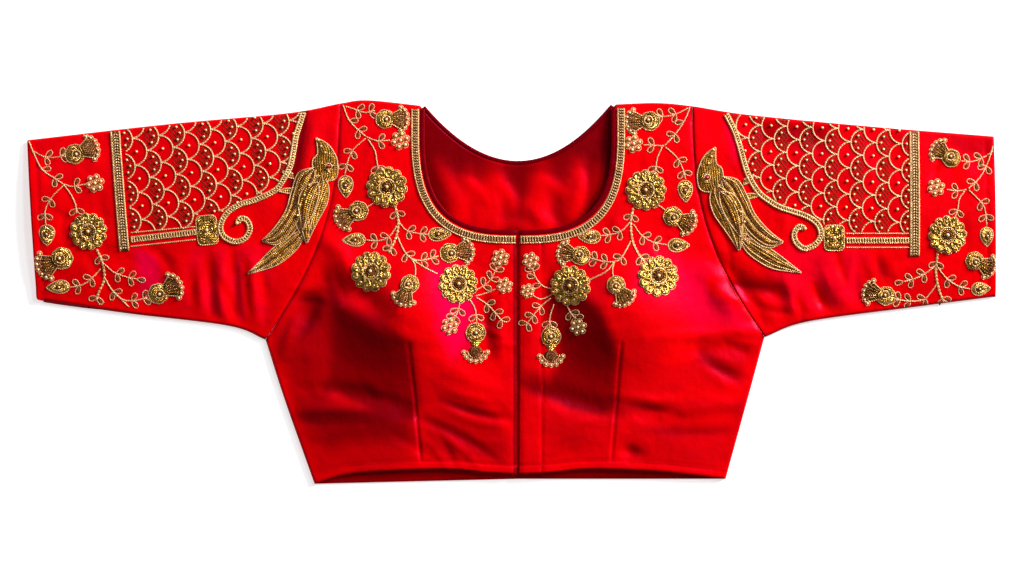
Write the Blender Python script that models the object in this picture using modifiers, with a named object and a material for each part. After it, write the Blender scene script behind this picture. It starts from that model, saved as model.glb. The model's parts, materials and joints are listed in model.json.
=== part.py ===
"""A choli blouse laid flat on its back, face up, as its sewn pieces: a back, two fronts that meet
at a hooked centre opening, two elbow sleeves, the neck piping, and the padded embroidery that
stands proud of the cloth: neck and cuff borders, flowers and a bird on each sleeve.

Metres, +Z up. The blouse is first drawn with its centre front at x = 0 and its lowest hem corner
at y = 0, then set down with the middle of its outline at the origin. The wearer's right is -X.
"""

import math

import bmesh
import bpy
import numpy as np
from mathutils.bvhtree import BVHTree

# Cloth and seams
CLOTH = 0.0014  # satin, interlining and lining together
SEAM_GAP = 0.0003
FOLD_REACH = 0.0030  # how far in plan a folded edge takes to turn over
FOLD_HEIGHT = 0.0050  # both layers together, beside a folded edge
FRONT_SEAT = 0.0023  # where a front's turned edge starts, just above the back
LOFT = 0.0056  # how much higher the upper layer lies well inside the edges
LOFT_REACH = 0.034
LOFT_SHAPE = 1.4  # above 1 it leaves a folded edge level, then rises

# Plan outline: distance out from the centre front, and height above the lowest hem corner
OUTLINE = {
    "neck_point": {"right": (0.0880, 0.3555), "left": (0.0880, 0.3570)},
    "shoulder_crest": {"right": (0.1410, 0.3610), "left": (0.1300, 0.3585)},
    "shoulder_tip": {"right": (0.1675, 0.3580), "left": (0.1640, 0.3555)},
    "sleeve_bend": {"right": (0.2160, 0.3490), "left": (0.2160, 0.3475)},
    "sleeve_crest": {"right": (0.3300, 0.3385), "left": (0.3300, 0.3365)},
    "cuff_top": {"right": (0.4615, 0.3235), "left": (0.4475, 0.3270)},
    "cuff_turn": {"right": (0.4530, 0.1840), "left": (0.4493, 0.1840)},
    "cuff_bottom": {"right": (0.4460, 0.1725), "left": (0.4470, 0.1760)},
    "sleeve_low": {"right": (0.3666, 0.1605), "left": (0.3666, 0.1655)},
    "sleeve_near": {"right": (0.2720, 0.1485), "left": (0.2720, 0.1525)},
    "underarm": {"right": (0.2375, 0.1355), "left": (0.2320, 0.1380)},
    "side_middle": {"right": (0.2195, 0.0790), "left": (0.2160, 0.0790)},
    "hem_corner": {"right": (0.1915, 0.0), "left": (0.1955, 0.0047)},
}
# The armhole leaves the shoulder straight down, and reaches the underarm along its second handle
ARMHOLE_TIP_HANDLE = (0.0, -0.084)
ARMHOLE_UNDERARM_HANDLE = (-0.060, 0.086)

# Necklines
NECK_HALF = 0.0880
FRONT_NECK_CENTRE = 0.3345  # below this height the front neckline rounds in
FRONT_NECK_DROP = 0.0962
FRONT_NECK_SQUARENESS = 2.9  # exponent of the superellipse
NECK_BEND = 0.045  # extra length that each radian of the front neckline counts as, to divide it finer there
BACK_NECK_BOTTOM = 0.3036
BACK_NECK_SPREAD = 1.3  # its sides slope, so an even margin takes more room across
FRONT_PIPING = {"width": 0.0040, "height": 0.0022}
BACK_PIPING = {"width": 0.0030, "height": 0.0021}

# Hems and the centre opening
FRONT_HEM_ARC = [(0.0, 0.0100), (0.030, 0.0115), (0.060, 0.0145), (0.090, 0.0143), (0.132, 0.0122),
                 (0.165, 0.0085)]
BACK_HEM_MIDDLE = 0.0047
CENTRE_EDGE = {"right": 0.0012, "left": 0.0008}
UNDERLAP = {"right": 0.0200, "left": 0.0120, "bottom": 0.0150, "top": 0.2290}

# Bust cups, each a rounded mound that falls away faster below its point
CUP_RISE = 0.0175
CUPS = {
    "right": {"x": 0.1060, "y": 0.1620, "across": 0.0800, "above": 0.0900, "below": 0.0780},
    "left": {"x": 0.1030, "y": 0.1620, "across": 0.0800, "above": 0.0900, "below": 0.0780},
}

# Hooks on the wearer's right edge, each caught in a bar on the underlap
HOOK_COUNT = 6
HOOK_FIRST = 0.030
HOOK_LAST = 0.218
HOOK = {"length": 0.0080, "width": 0.0050, "wire": 0.0004}
HOOK_INSET = 0.003  # the bill's distance from the centre front
HOOK_ROOM = 0.0014  # between the lap and the underlap

# Padded embroidery, each piece its own pad with a crowned top and thinner rim
PAD_HEIGHT = {"flower": 0.0018, "bird": 0.0020, "border": 0.0012}
PAD_RIM = 0.5  # a pad's height at its rim, as a share of its full height
PAD_GAP = 0.0004
FLOWER_PETALS = 10
PETAL_POINTS = 3
FLOWER_RINGS = (0.0, 0.3, 0.55, 0.8, 1.0)
FLOWER_CROWN = (1.0, 1.0, 0.95, 0.8, PAD_RIM)
FLOWER_NOTCH = 0.13  # how deep the notches between petals cut, as a share of the radius
FLOWER_COLUMNS = ("piece", "side", "x", "y", "radius")
FLOWERS = [
    ("front", "right", 0.1230, 0.2790, 0.0190),
    ("front", "right", 0.1376, 0.1996, 0.0185),
    ("front", "right", 0.0562, 0.1881, 0.0180),
    ("front", "left", 0.1199, 0.2762, 0.0188),
    ("front", "left", 0.1311, 0.1954, 0.0188),
    ("front", "left", 0.0491, 0.1864, 0.0185),
    ("sleeve", "right", 0.4032, 0.2374, 0.0172),
    ("sleeve", "left", 0.4030, 0.2341, 0.0178),
]
# A bird is a ribbon from its crest to the tip of its tail, wider on the far side where the wing lies
BIRD_COLUMNS = ("x", "y", "near", "far")
BIRDS = {
    "right": [
        (0.1850, 0.3245, 0.0012, 0.0012),
        (0.1815, 0.3120, 0.0055, 0.0050),
        (0.1800, 0.2990, 0.0085, 0.0075),
        (0.1860, 0.2840, 0.0100, 0.0110),
        (0.1950, 0.2660, 0.0140, 0.0130),
        (0.2040, 0.2480, 0.0120, 0.0110),
        (0.2180, 0.2330, 0.0085, 0.0090),
        (0.2340, 0.2170, 0.0050, 0.0060),
        (0.2580, 0.2060, 0.0012, 0.0012),
    ],
    "left": [
        (0.1848, 0.3143, 0.0012, 0.0012),
        (0.1800, 0.3030, 0.0055, 0.0050),
        (0.1800, 0.2890, 0.0085, 0.0085),
        (0.1900, 0.2740, 0.0110, 0.0120),
        (0.2020, 0.2570, 0.0130, 0.0130),
        (0.2110, 0.2390, 0.0120, 0.0110),
        (0.2260, 0.2230, 0.0080, 0.0100),
        (0.2430, 0.2110, 0.0055, 0.0060),
        (0.2660, 0.1990, 0.0012, 0.0012),
    ],
}
CUFF_BORDER = {"width": 0.0094, "right": ((0.3786, 0.3290), (0.3694, 0.2190)),
               "left": ((0.3724, 0.3280), (0.3724, 0.2140))}
NECK_BORDER = {"width": 0.0074, "out": 0.0088}  # the middle of the border, out from the finished edge

# Largest folds of the upper layer. Ends are plan points, bow is how far the middle swings
# to the left of the line from first to second end, and a negative height is a trough.
CREASE_COLUMNS = ("x1", "y1", "x2", "y2", "bow", "width", "height")
CREASES = {
    "right": [
        (0.186, 0.236, 0.150, 0.172, -0.008, 0.0095, 0.0040),
        (0.180, 0.192, 0.120, 0.152, -0.006, 0.0120, -0.0045),
        (0.204, 0.186, 0.190, 0.140, 0.000, 0.0130, -0.0030),
        (0.226, 0.116, 0.206, 0.146, 0.000, 0.0080, 0.0025),
        (0.205, 0.066, 0.098, 0.058, -0.004, 0.0100, 0.0022),
        (0.192, 0.082, 0.120, 0.076, -0.004, 0.0100, -0.0022),
        (0.080, 0.120, 0.012, 0.086, 0.004, 0.0090, 0.0018),
        (0.300, 0.205, 0.297, 0.150, 0.000, 0.0080, 0.0020),
        (0.279, 0.212, 0.276, 0.148, 0.000, 0.0075, 0.0024),
        (0.252, 0.218, 0.249, 0.144, 0.000, 0.0085, 0.0028),
        (0.266, 0.210, 0.262, 0.146, 0.000, 0.0070, -0.0026),
        (0.289, 0.205, 0.286, 0.150, 0.000, 0.0070, -0.0020),
        (0.330, 0.200, 0.350, 0.160, 0.000, 0.0090, -0.0016),
        (0.400, 0.230, 0.345, 0.205, 0.004, 0.0100, -0.0012),
    ],
    "left": [
        (0.186, 0.212, 0.230, 0.150, 0.004, 0.0080, -0.0042),
        (0.168, 0.206, 0.208, 0.148, 0.004, 0.0100, 0.0030),
        (0.214, 0.190, 0.262, 0.172, 0.000, 0.0090, -0.0030),
        (0.120, 0.138, 0.226, 0.142, 0.000, 0.0060, 0.0018),
        (0.160, 0.128, 0.222, 0.120, 0.004, 0.0090, -0.0026),
        (0.108, 0.068, 0.158, 0.060, -0.003, 0.0090, -0.0022),
        (0.096, 0.033, 0.112, 0.027, 0.000, 0.0080, -0.0020),
        (0.034, 0.088, 0.082, 0.070, 0.003, 0.0110, -0.0020),
        (0.250, 0.196, 0.262, 0.150, 0.002, 0.0080, 0.0024),
        (0.276, 0.190, 0.294, 0.158, 0.000, 0.0080, -0.0026),
        (0.292, 0.206, 0.312, 0.160, 0.000, 0.0085, 0.0022),
        (0.314, 0.198, 0.324, 0.162, 0.000, 0.0075, -0.0018),
        (0.250, 0.338, 0.300, 0.326, 0.000, 0.0120, -0.0014),
    ],
}
CREASE_END = 0.12  # a crease's taper is a sine, from this share of its half wave to the like at the far end
CREASE_FADE = 0.016  # folds fade out this far from a folded edge
# Soft ripples of the back where it shows inside the neck; x here is signed
BACK_RIPPLES = [
    (-0.046, 0.292, -0.052, 0.238, 0.0, 0.0110, 0.0020),
    (-0.022, 0.296, -0.026, 0.230, 0.0, 0.0120, 0.0028),
    (0.022, 0.296, 0.018, 0.230, 0.0, 0.0130, 0.0026),
    (0.052, 0.300, 0.056, 0.236, 0.0, 0.0120, 0.0018),
]

# How finely the pieces are divided
NECK_COLUMNS = {"front": 17, "back": 9}
SHOULDER_COLUMNS = 6
SEAM_ROWS = 8  # up the side seam
ARMHOLE_ROWS = 15
NECK_SHARE = {"front": 0.66, "back": 0.58}  # share of a panel's width that its neckline takes
SEAM_SHARE = 0.38  # share of its height that the side seam takes
PANEL_WIDTH = 0.20  # typical sizes, which set how close the lines of a turned edge lie
PANEL_HEIGHT = 0.34
SLEEVE_WIDTH = 0.16
SLEEVE_STATIONS = 17
SLEEVE_LINES = 10
FRONT_PIPING_STATIONS = 26
BACK_PIPING_STATIONS = 14
NECK_BORDER_STATIONS = 36
CUFF_BORDER_STATIONS = 12
UNDERLAP_COLUMNS = 7
UNDERLAP_ROWS = 14
TURN_ANGLES = (0, 25, 50, 90)
LEAST_SHARE = 0.01  # lines of a panel closer than this to a turned edge are left out
NEARLY_ALL = 0.985  # trims along a neckline stop this far along it, short of the shoulder fold

COLOURS = {
    "satin": (0.62, 0.0, 0.012),
    "piping": (0.30, 0.0, 0.03),
    "hook": (0.72, 0.70, 0.68),
    "zari": (0.52, 0.33, 0.10),
}
ROUGHNESS = {"satin": 0.45, "piping": 0.5, "hook": 0.3, "zari": 0.4}
METALLIC = {"satin": 0.0, "piping": 0.0, "hook": 1.0, "zari": 0.8}
SIDES = {"right": -1, "left": 1}


class Path:
    """A plan curve, measured by the share of its length, where each radian it bends counts as more."""

    def __init__(self, points, bend=0.0):
        self.points = np.asarray(points, float)
        steps = np.diff(self.points, axis=0)
        heading = np.unwrap(np.arctan2(steps[:, 1], steps[:, 0]))
        turning = np.abs(np.gradient(heading)) if len(heading) > 1 else np.zeros(1)
        self.lengths = np.concatenate([[0.0], np.cumsum(np.linalg.norm(steps, axis=1) + bend * turning)])

    def at(self, share):
        along = np.asarray(share) * self.lengths[-1]
        columns = [np.interp(along, self.lengths, self.points[:, axis]) for axis in (0, 1)]
        return np.stack(columns, axis=-1)

    def reversed(self):
        return Path(self.points[::-1])

    def moved_out(self, distance):
        """The same curve, moved to the right of its direction."""
        run = np.gradient(self.points, axis=0)
        run /= np.linalg.norm(run, axis=1, keepdims=True)
        return Path(self.points + distance * np.stack([run[:, 1], -run[:, 0]], axis=1))


def smooth(points, steps=12):
    """Points of a curve through the given ones, each stretch a Catmull-Rom cubic."""
    given = np.array(points, float)
    first = 2 * given[0] - given[1]
    last = 2 * given[-1] - given[-2]
    padded = np.vstack([first, given, last])
    t = np.linspace(0, 1, steps, endpoint=False)[:, None]
    stretches = []
    for a, b, c, d in zip(padded, padded[1:], padded[2:], padded[3:]):
        cubic = 2 * b + (c - a) * t + (2 * a - 5 * b + 4 * c - d) * t**2
        stretches.append(0.5 * (cubic + (3 * b - a - 3 * c + d) * t**3))
    return np.vstack(stretches + [given[-1:]])


def bezier(start, start_handle, end_handle, end, steps=24):
    """Points of a cubic whose handles are given relative to its ends."""
    t = np.linspace(0, 1, steps + 1)[:, None]
    first, last = np.array(start, float), np.array(end, float)
    near, far = first + start_handle, last + end_handle
    return (1 - t) ** 3 * first + 3 * (1 - t) ** 2 * t * near + 3 * (1 - t) * t**2 * far + t**3 * last


def corner(name, side):
    return OUTLINE[name][side]


def top_edge(side):
    """Shoulder and sleeve top, from the neck to the cuff."""
    names = ("neck_point", "shoulder_crest", "shoulder_tip", "sleeve_bend", "sleeve_crest", "cuff_top")
    return smooth([corner(name, side) for name in names])


def side_seam(side):
    """From the hem corner up to the underarm."""
    return Path(smooth([corner(name, side) for name in ("hem_corner", "side_middle", "underarm")]))


def sleeve_underside(side):
    """From the underarm to the cuff's rounded lower corner."""
    names = ("underarm", "sleeve_near", "sleeve_low", "cuff_bottom")
    return Path(smooth([corner(name, side) for name in names]))


def armhole(side):
    """From the underarm up to the shoulder tip."""
    tip = corner("shoulder_tip", side)
    underarm = corner("underarm", side)
    return Path(bezier(underarm, ARMHOLE_UNDERARM_HANDLE, ARMHOLE_TIP_HANDLE, tip))


def shoulder(side, neck_half):
    """From the neck edge of a panel out to the shoulder tip."""
    edge = top_edge(side)
    tip_x = corner("shoulder_tip", side)[0]
    inside = edge[(edge[:, 0] > neck_half + 0.001) & (edge[:, 0] < tip_x - 0.001)]
    start = (neck_half, np.interp(neck_half, edge[:, 0], edge[:, 1]))
    return Path([start, *inside, corner("shoulder_tip", side)])


def sleeve_top(side):
    edge = top_edge(side)
    return Path(edge[edge[:, 0] >= corner("shoulder_tip", side)[0] - 1e-6])


def front_neckline(side, out, steps=60):
    """Half of the front neckline, moved out: a superellipse that runs straight up to the shoulder."""
    power = 2 / FRONT_NECK_SQUARENESS
    turn = np.linspace(-math.pi / 2, 0, steps)
    x = (NECK_HALF + out) * np.abs(np.cos(turn)) ** power
    y = FRONT_NECK_CENTRE - (FRONT_NECK_DROP + out) * np.abs(np.sin(turn)) ** power
    x[0] = CENTRE_EDGE[side]
    top = shoulder(side, NECK_HALF + out).points[0]
    return Path(np.vstack([np.stack([x, y], axis=1), [top]]), NECK_BEND)


def back_neckline(side, out, steps=40):
    """Half of the back neckline, moved out: a parabola up to the shoulder's end."""
    half = NECK_HALF + BACK_NECK_SPREAD * out
    top = shoulder(side, half).points[0][1]
    x = np.linspace(0, half, steps)
    bottom = BACK_NECK_BOTTOM - out
    return Path(np.stack([x, bottom + (top - bottom) * (x / half) ** 2], axis=1))


def distance_to(plan, path):
    """Plan distance from each point to a path."""
    start = path.points[:-1]
    step = np.diff(path.points, axis=0)
    offset = plan[..., None, :] - start
    along = np.clip((offset * step).sum(-1) / (step**2).sum(-1), 0, 1)
    return np.linalg.norm(offset - along[..., None] * step, axis=-1).min(-1)


def from_folds(plan, side):
    """Plan distance to the nearest folded edge: shoulder, sleeve top, sleeve underside, side seam."""
    above = distance_to(plan, Path(top_edge(side)))
    below = distance_to(plan, sleeve_underside(side))
    beside = distance_to(plan, side_seam(side))
    return np.minimum(np.minimum(above, below), beside)


def turned(distance):
    """0 at a folded edge to 1 where the cloth has turned flat, along a quarter ellipse."""
    inside = 1 - np.clip(distance / FOLD_REACH, 0, 1)
    return np.sqrt(1 - inside**2)


def ease(value):
    value = np.clip(value, 0, 1)
    return value * value * (3 - 2 * value)


def folds(plan, rows):
    """Height that a table of creases adds: each a rounded ridge along a bowed line, tapered at its ends."""
    total = np.zeros(plan.shape[:-1])
    for row in rows:
        crease = dict(zip(CREASE_COLUMNS, row))
        start = np.array([crease["x1"], crease["y1"]])
        line = np.array([crease["x2"], crease["y2"]]) - start
        length = np.linalg.norm(line)
        run = line / length
        side_way = np.array([-run[1], run[0]])
        offset = plan - start
        share = offset @ run / length
        inside = np.clip(share, 0, 1)
        across = offset @ side_way - crease["bow"] * 4 * inside * (1 - inside)
        beyond = (share - inside) * length
        taper = np.sin(math.pi * (CREASE_END + (1 - 2 * CREASE_END) * inside))
        reach = (across**2 + beyond**2) / crease["width"] ** 2
        total += crease["height"] * taper * np.exp(-reach)
    return total


def cup(plan, side):
    """Height of the bust cup: a raised cosine over an oval with a longer upper half."""
    size = CUPS[side]
    dx = (plan[..., 0] - size["x"]) / size["across"]
    dy = plan[..., 1] - size["y"]
    dy = np.where(dy > 0, dy / size["above"], dy / size["below"])
    return CUP_RISE * (1 + np.cos(math.pi * np.clip(np.hypot(dx, dy), 0, 1))) / 2


def loft(plan, side):
    """Height of the upper layer above the turned edges."""
    distance = from_folds(plan, side)
    inside = np.clip(distance - FOLD_REACH, 0, None)
    swell = 1 - np.exp(-((inside / LOFT_REACH) ** LOFT_SHAPE))
    return LOFT * swell + (cup(plan, side) + folds(plan, CREASES[side])) * ease(distance / CREASE_FADE)


def front_top(plan, side):
    """Outer height of a front, which turns down on to the back at the side seam and shoulder."""
    turn = turned(from_folds(plan, side))
    return FRONT_SEAT + (FOLD_HEIGHT - FRONT_SEAT) * turn + loft(plan, side)


def patch(bottom, top, left, right, u, v):
    """Plan points blended from four edges: the sum of both ruled surfaces less the bilinear one."""
    u, v = np.meshgrid(u, v)
    u_, v_ = u[..., None], v[..., None]
    ruled = (1 - v_) * bottom(u) + v_ * top(u) + (1 - u_) * left(v) + u_ * right(v)
    zero, one = np.array(0.0), np.array(1.0)
    low = (1 - u_) * bottom(zero) + u_ * bottom(one)
    high = (1 - u_) * top(zero) + u_ * top(one)
    return ruled - (1 - v_) * low - v_ * high


def joined(first, second, share):
    """One edge made of two paths, the first taking this share of it."""

    def edge(value):
        value = np.asarray(value, float)
        near = first.at(np.clip(value / share, 0, 1))
        far = second.at(np.clip((value - share) / (1 - share), 0, 1))
        return np.where((value <= share)[..., None], near, far)

    return edge


def shares(near, far, corner_share):
    """Shares along a patch, evenly spaced to its corner and on from there."""
    return np.concatenate([np.linspace(0, corner_share, near + 1), np.linspace(corner_share, 1, far + 1)[1:]])


def turned_over(even, width):
    """The shares with more where the far edge turns over."""
    turn = FOLD_REACH * (1 - np.cos(np.radians(TURN_ANGLES)))
    tight = 1 - turn / width
    return np.sort(np.concatenate([even[even < tight.min() - LEAST_SHARE], tight]))


def surface(name, points, thickness, way, closed=False, crown=None):
    """A cloth wall: a grid laid on the given points, with Solidify adding its thickness along way.

    A crown is a share of the thickness for each point.
    """
    rows, columns = points.shape[:2]
    mesh = bmesh.new()
    bmesh.ops.create_grid(mesh, x_segments=columns - 1, y_segments=rows - 1, size=0.5)
    weights = mesh.verts.layers.deform.verify()
    for vertex in mesh.verts:
        column = round((vertex.co.x + 0.5) * (columns - 1))
        row = round((vertex.co.y + 0.5) * (rows - 1))
        vertex.co = points[row, column]
        if crown is not None:
            vertex[weights][0] = crown[row, column]
    if closed:
        bmesh.ops.remove_doubles(mesh, verts=mesh.verts, dist=1e-6)
    data = bpy.data.meshes.new(name)
    mesh.to_mesh(data)
    mesh.free()
    data.shade_smooth()
    cloth = bpy.data.objects.new(name, data)
    wall = cloth.modifiers.new("cloth", "SOLIDIFY")
    wall.thickness = thickness
    wall.offset = way
    wall.use_even_offset = True
    wall.use_quality_normals = True
    if crown is not None:
        cloth.vertex_groups.new(name="crown")
        wall.vertex_group = "crown"
    # Bent quads are split here, so what lies on a panel meets the same facets
    cloth.modifiers.new("facets", "TRIANGULATE")
    return cloth


def set_down(plan, height, side_sign=1):
    """Plan points and heights as points in the part's frame."""
    low, high = drawn_bounds()
    x = plan[..., 0] * side_sign - (low[0] + high[0]) / 2
    y = plan[..., 1] - (low[1] + high[1]) / 2
    return np.stack([x, y, np.broadcast_to(height, x.shape)], axis=-1)


def drawn_bounds():
    """Lowest and highest plan point of the whole outline, both sides."""
    drawn = []
    for side, sign in SIDES.items():
        edges = [top_edge(side), side_seam(side).points, sleeve_underside(side).points, cuff(side).points]
        drawn.extend(edge * (sign, 1) for edge in edges)
    every = np.vstack(drawn)
    return every.min(0), every.max(0)


def cuff(side):
    """From the rounded lower corner up to the top corner."""
    low = corner("cuff_bottom", side)
    turn = corner("cuff_turn", side)
    top = corner("cuff_top", side)
    rounding = bezier(low, (turn[0] - low[0], 0.0), (0.0, low[1] - turn[1]), turn, 6)
    return Path(np.vstack([rounding, [top]]))


def front(side):
    """One front, from the centre opening out to the side seam and armhole."""
    hem_end = corner("hem_corner", side)
    arc = [(CENTRE_EDGE[side], FRONT_HEM_ARC[0][1]), *FRONT_HEM_ARC[1:], hem_end]
    hem = Path(smooth(arc))
    neckline = front_neckline(side, FRONT_PIPING["width"] + SEAM_GAP)
    start = neckline.points[0]
    top = joined(neckline, shoulder(side, neckline.points[-1][0]), NECK_SHARE["front"])
    outer = joined(side_seam(side), armhole(side), SEAM_SHARE)
    opening = Path([hem.points[0], start])
    u = turned_over(shares(NECK_COLUMNS["front"], SHOULDER_COLUMNS, NECK_SHARE["front"]), PANEL_WIDTH)
    v = turned_over(shares(SEAM_ROWS, ARMHOLE_ROWS, SEAM_SHARE), PANEL_HEIGHT)
    plan = patch(hem.at, top, opening.at, outer, u, v)
    points = set_down(plan, front_top(plan, side), SIDES[side])
    if side == "right":
        points = points[:, ::-1]
    return surface(f"front_{side}", points, CLOTH, -1)


def back_half(side):
    neckline = back_neckline(side, BACK_PIPING["width"] + SEAM_GAP)
    hem = Path([(0.0, BACK_HEM_MIDDLE), corner("hem_corner", side)])
    top = joined(neckline, shoulder(side, neckline.points[-1][0]), NECK_SHARE["back"])
    outer = joined(side_seam(side), armhole(side), SEAM_SHARE)
    middle = Path([hem.points[0], neckline.points[0]])
    u = shares(NECK_COLUMNS["back"], SHOULDER_COLUMNS, NECK_SHARE["back"])
    v = shares(SEAM_ROWS, ARMHOLE_ROWS, SEAM_SHARE)
    return patch(hem.at, top, middle.at, outer, u, v)


def back():
    """The whole back, flat on the surface but for the ripples that show inside the neck."""
    right = back_half("right")[:, ::-1] * (SIDES["right"], 1)
    plan = np.concatenate([right[:, :-1], back_half("left")], axis=1)
    points = set_down(plan, folds(plan, BACK_RIPPLES))
    return surface("back", points, CLOTH, 1)


def sleeve(side):
    """One sleeve: a tube of rings from the armhole to the cuff, lying flat and folded at top and underside."""
    start = armhole(side).reversed().moved_out(-SEAM_GAP)
    end = cuff(side).reversed()
    above = Path(np.vstack([start.points[:1], sleeve_top(side).points[1:]]))
    below = Path(np.vstack([start.points[-1:], sleeve_underside(side).points[1:]]))
    along = np.linspace(0, 1, SLEEVE_STATIONS)
    turn = FOLD_REACH * (1 - np.cos(np.radians(TURN_ANGLES))) / SLEEVE_WIDTH
    lines = np.linspace(0, 1, SLEEVE_LINES + 1)[1:-1]
    across = np.concatenate([turn, lines, 1 - turn[::-1]])
    plan = patch(above.at, below.at, start.at, end.at, along, across)
    distance = from_folds(plan, side)
    middle = FOLD_HEIGHT / 2
    upper = set_down(plan, middle + middle * turned(distance) + loft(plan, side), SIDES[side])
    lower = set_down(plan, middle - middle * turned(distance), SIDES[side])
    # A ring runs over the top, down the upper layer and back along the lower one
    rings = np.concatenate([upper, lower[-2:0:-1], upper[:1]], axis=0)
    if side == "left":
        rings = rings[::-1]
    return surface(f"sleeve_{side}", rings, CLOTH, -1, closed=True)


def underlap():
    """The strip under the centre opening that carries the bars."""
    x = np.linspace(-UNDERLAP["right"], UNDERLAP["left"], UNDERLAP_COLUMNS)
    y = np.linspace(UNDERLAP["bottom"], UNDERLAP["top"], UNDERLAP_ROWS)
    plan = np.stack(np.meshgrid(x, y), axis=-1)
    away = plan * (SIDES["right"], 1)
    height = np.where(plan[..., 0] < 0, front_top(away, "right"), front_top(plan, "left"))
    return surface("underlap", set_down(plan, height - CLOTH - HOOK_ROOM), CLOTH, -1)


def oval(name, size):
    """The outline of a piping, as a curve to bevel along its path."""
    outline = bpy.data.curves.new(name, "CURVE")
    spline = outline.splines.new("POLY")
    turns = np.linspace(2 * math.pi, 0, 8, endpoint=False)
    spline.points.add(len(turns) - 1)
    for point, turn in zip(spline.points, turns):
        point.co = (size["width"] / 2 * math.cos(turn), size["height"] / 2 * math.sin(turn), 0, 1)
    spline.use_cyclic_u = True
    guide = bpy.data.objects.new(name, outline)
    guide.hide_render = True
    guide.display_type = "WIRE"
    return guide


def swept(name, points, section=None, wire=0.0):
    """A piping or wire: a poly curve along the points, with filled caps."""
    data = bpy.data.curves.new(name, "CURVE")
    data.dimensions = "3D"
    data.twist_mode = "Z_UP"
    data.use_fill_caps = True
    spline = data.splines.new("POLY")
    spline.points.add(len(points) - 1)
    for point, place in zip(spline.points, points):
        point.co = (*place, 1)
    if section:
        data.bevel_mode = "OBJECT"
        data.bevel_object = section
    else:
        data.bevel_depth = wire
        data.bevel_resolution = 1
    return bpy.data.objects.new(name, data)


def front_piping(side, section):
    """Piping along one half of the front neckline, level with the middle of the front's cloth."""
    line = front_neckline(side, FRONT_PIPING["width"] / 2)
    plan = line.at(np.linspace(0, NEARLY_ALL, FRONT_PIPING_STATIONS))
    height = front_top(plan, side) - CLOTH / 2
    return swept(f"piping_front_{side}", set_down(plan, height, SIDES[side]), section)


def back_piping(section):
    """Piping along the whole back neckline, resting on the surface."""
    middle = BACK_PIPING["width"] / 2
    along = np.linspace(0, NEARLY_ALL, BACK_PIPING_STATIONS)
    right = back_neckline("right", middle).at(along[::-1]) * (SIDES["right"], 1)
    left = back_neckline("left", middle).at(along)
    plan = np.vstack([right, left[1:]])
    lift = folds(plan, BACK_RIPPLES)
    return swept("piping_back", set_down(plan, BACK_PIPING["height"] / 2 + lift), section)


def hook(number, height_up):
    """A bent wire hook under the wearer's right edge, its bill turned back over the bar."""
    wire = HOOK["wire"]
    half = HOOK["width"] / 2
    length = HOOK["length"]
    eye = -length / 4
    shape = [(-length, half), (eye, half / 2), (0.0, 0.0), (eye, -half / 2), (-length, -half)]
    plan = np.array(shape) + (-HOOK_INSET, height_up)
    away = plan * (SIDES["right"], 1)
    level = front_top(away, "right") - CLOTH - SEAM_GAP - wire
    return swept(f"hook_{number}", set_down(plan, level), wire=wire)


def pad(name, plan, crown, panel, height, closed=False):
    """A padded motif, laid just above the facets of the panel that carries it."""
    below = BVHTree.FromObject(panel, bpy.context.evaluated_depsgraph_get())
    place = set_down(plan, 0.1)
    for row in place:
        for point in row:
            hit = below.ray_cast(tuple(point), (0, 0, -1))[0]
            point[2] = hit.z + PAD_GAP
    return surface(name, place, height, 1, closed, crown)


def flower(number, row, panel):
    """A scalloped disc of rings round its centre, each petal's rim bowed outwards."""
    size = dict(zip(FLOWER_COLUMNS, row))
    turn = np.linspace(0, 2 * math.pi, FLOWER_PETALS * PETAL_POINTS + 1)
    rim = 1 - FLOWER_NOTCH + FLOWER_NOTCH * np.abs(np.sin(turn * FLOWER_PETALS / 2))
    radius = size["radius"] * np.array(FLOWER_RINGS)[:, None] * rim
    x = size["x"] * SIDES[size["side"]] + radius * np.cos(turn)
    y = size["y"] + radius * np.sin(turn)
    crown = np.broadcast_to(np.array(FLOWER_CROWN)[:, None], x.shape)
    plan = np.stack([x, y], axis=-1)
    return pad(f"flower_{number}", plan[:, ::-1], crown, panel, PAD_HEIGHT["flower"], closed=True)


def ribbon(name, middle, near, far, side, panel, height, lines):
    """A pad along a path, reaching near and far to its two sides, its crown a rounded arch."""
    run = np.gradient(middle, axis=0)
    run /= np.linalg.norm(run, axis=1, keepdims=True)
    out = np.stack([run[:, 1], -run[:, 0]], axis=1)
    across = np.linspace(-1, 1, lines)
    reach = across * np.where(across < 0, near[:, None], far[:, None])
    plan = (middle[:, None] + reach[..., None] * out[:, None]) * (SIDES[side], 1)
    crown = np.broadcast_to(1 - (1 - PAD_RIM) * across**2, reach.shape)
    if side == "right":
        plan = plan[:, ::-1]
    return pad(name, plan, crown, panel, height)


def bird(side, panel):
    table = smooth(BIRDS[side], 3)
    size = dict(zip(BIRD_COLUMNS, table.T))
    middle = np.stack([size["x"], size["y"]], axis=1)
    return ribbon(f"bird_{side}", middle, size["near"], size["far"], side, panel, PAD_HEIGHT["bird"], 5)


def cuff_border(side, panel):
    """The wide border across the sleeve, short of the cuff."""
    ends = Path(CUFF_BORDER[side])
    middle = ends.at(np.linspace(0, 1, CUFF_BORDER_STATIONS))
    half = np.full(len(middle), CUFF_BORDER["width"] / 2)
    return ribbon(f"border_cuff_{side}", middle, half, half, side, panel, PAD_HEIGHT["border"], 3)


def neck_border(side, panel):
    """The border beside the front piping, from the centre opening up to the shoulder."""
    line = front_neckline(side, NECK_BORDER["out"])
    middle = line.at(np.linspace(0.004, NEARLY_ALL, NECK_BORDER_STATIONS))
    half = np.full(len(middle), NECK_BORDER["width"] / 2)
    return ribbon(f"border_neck_{side}", middle, half, half, side, panel, PAD_HEIGHT["border"], 3)


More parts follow.
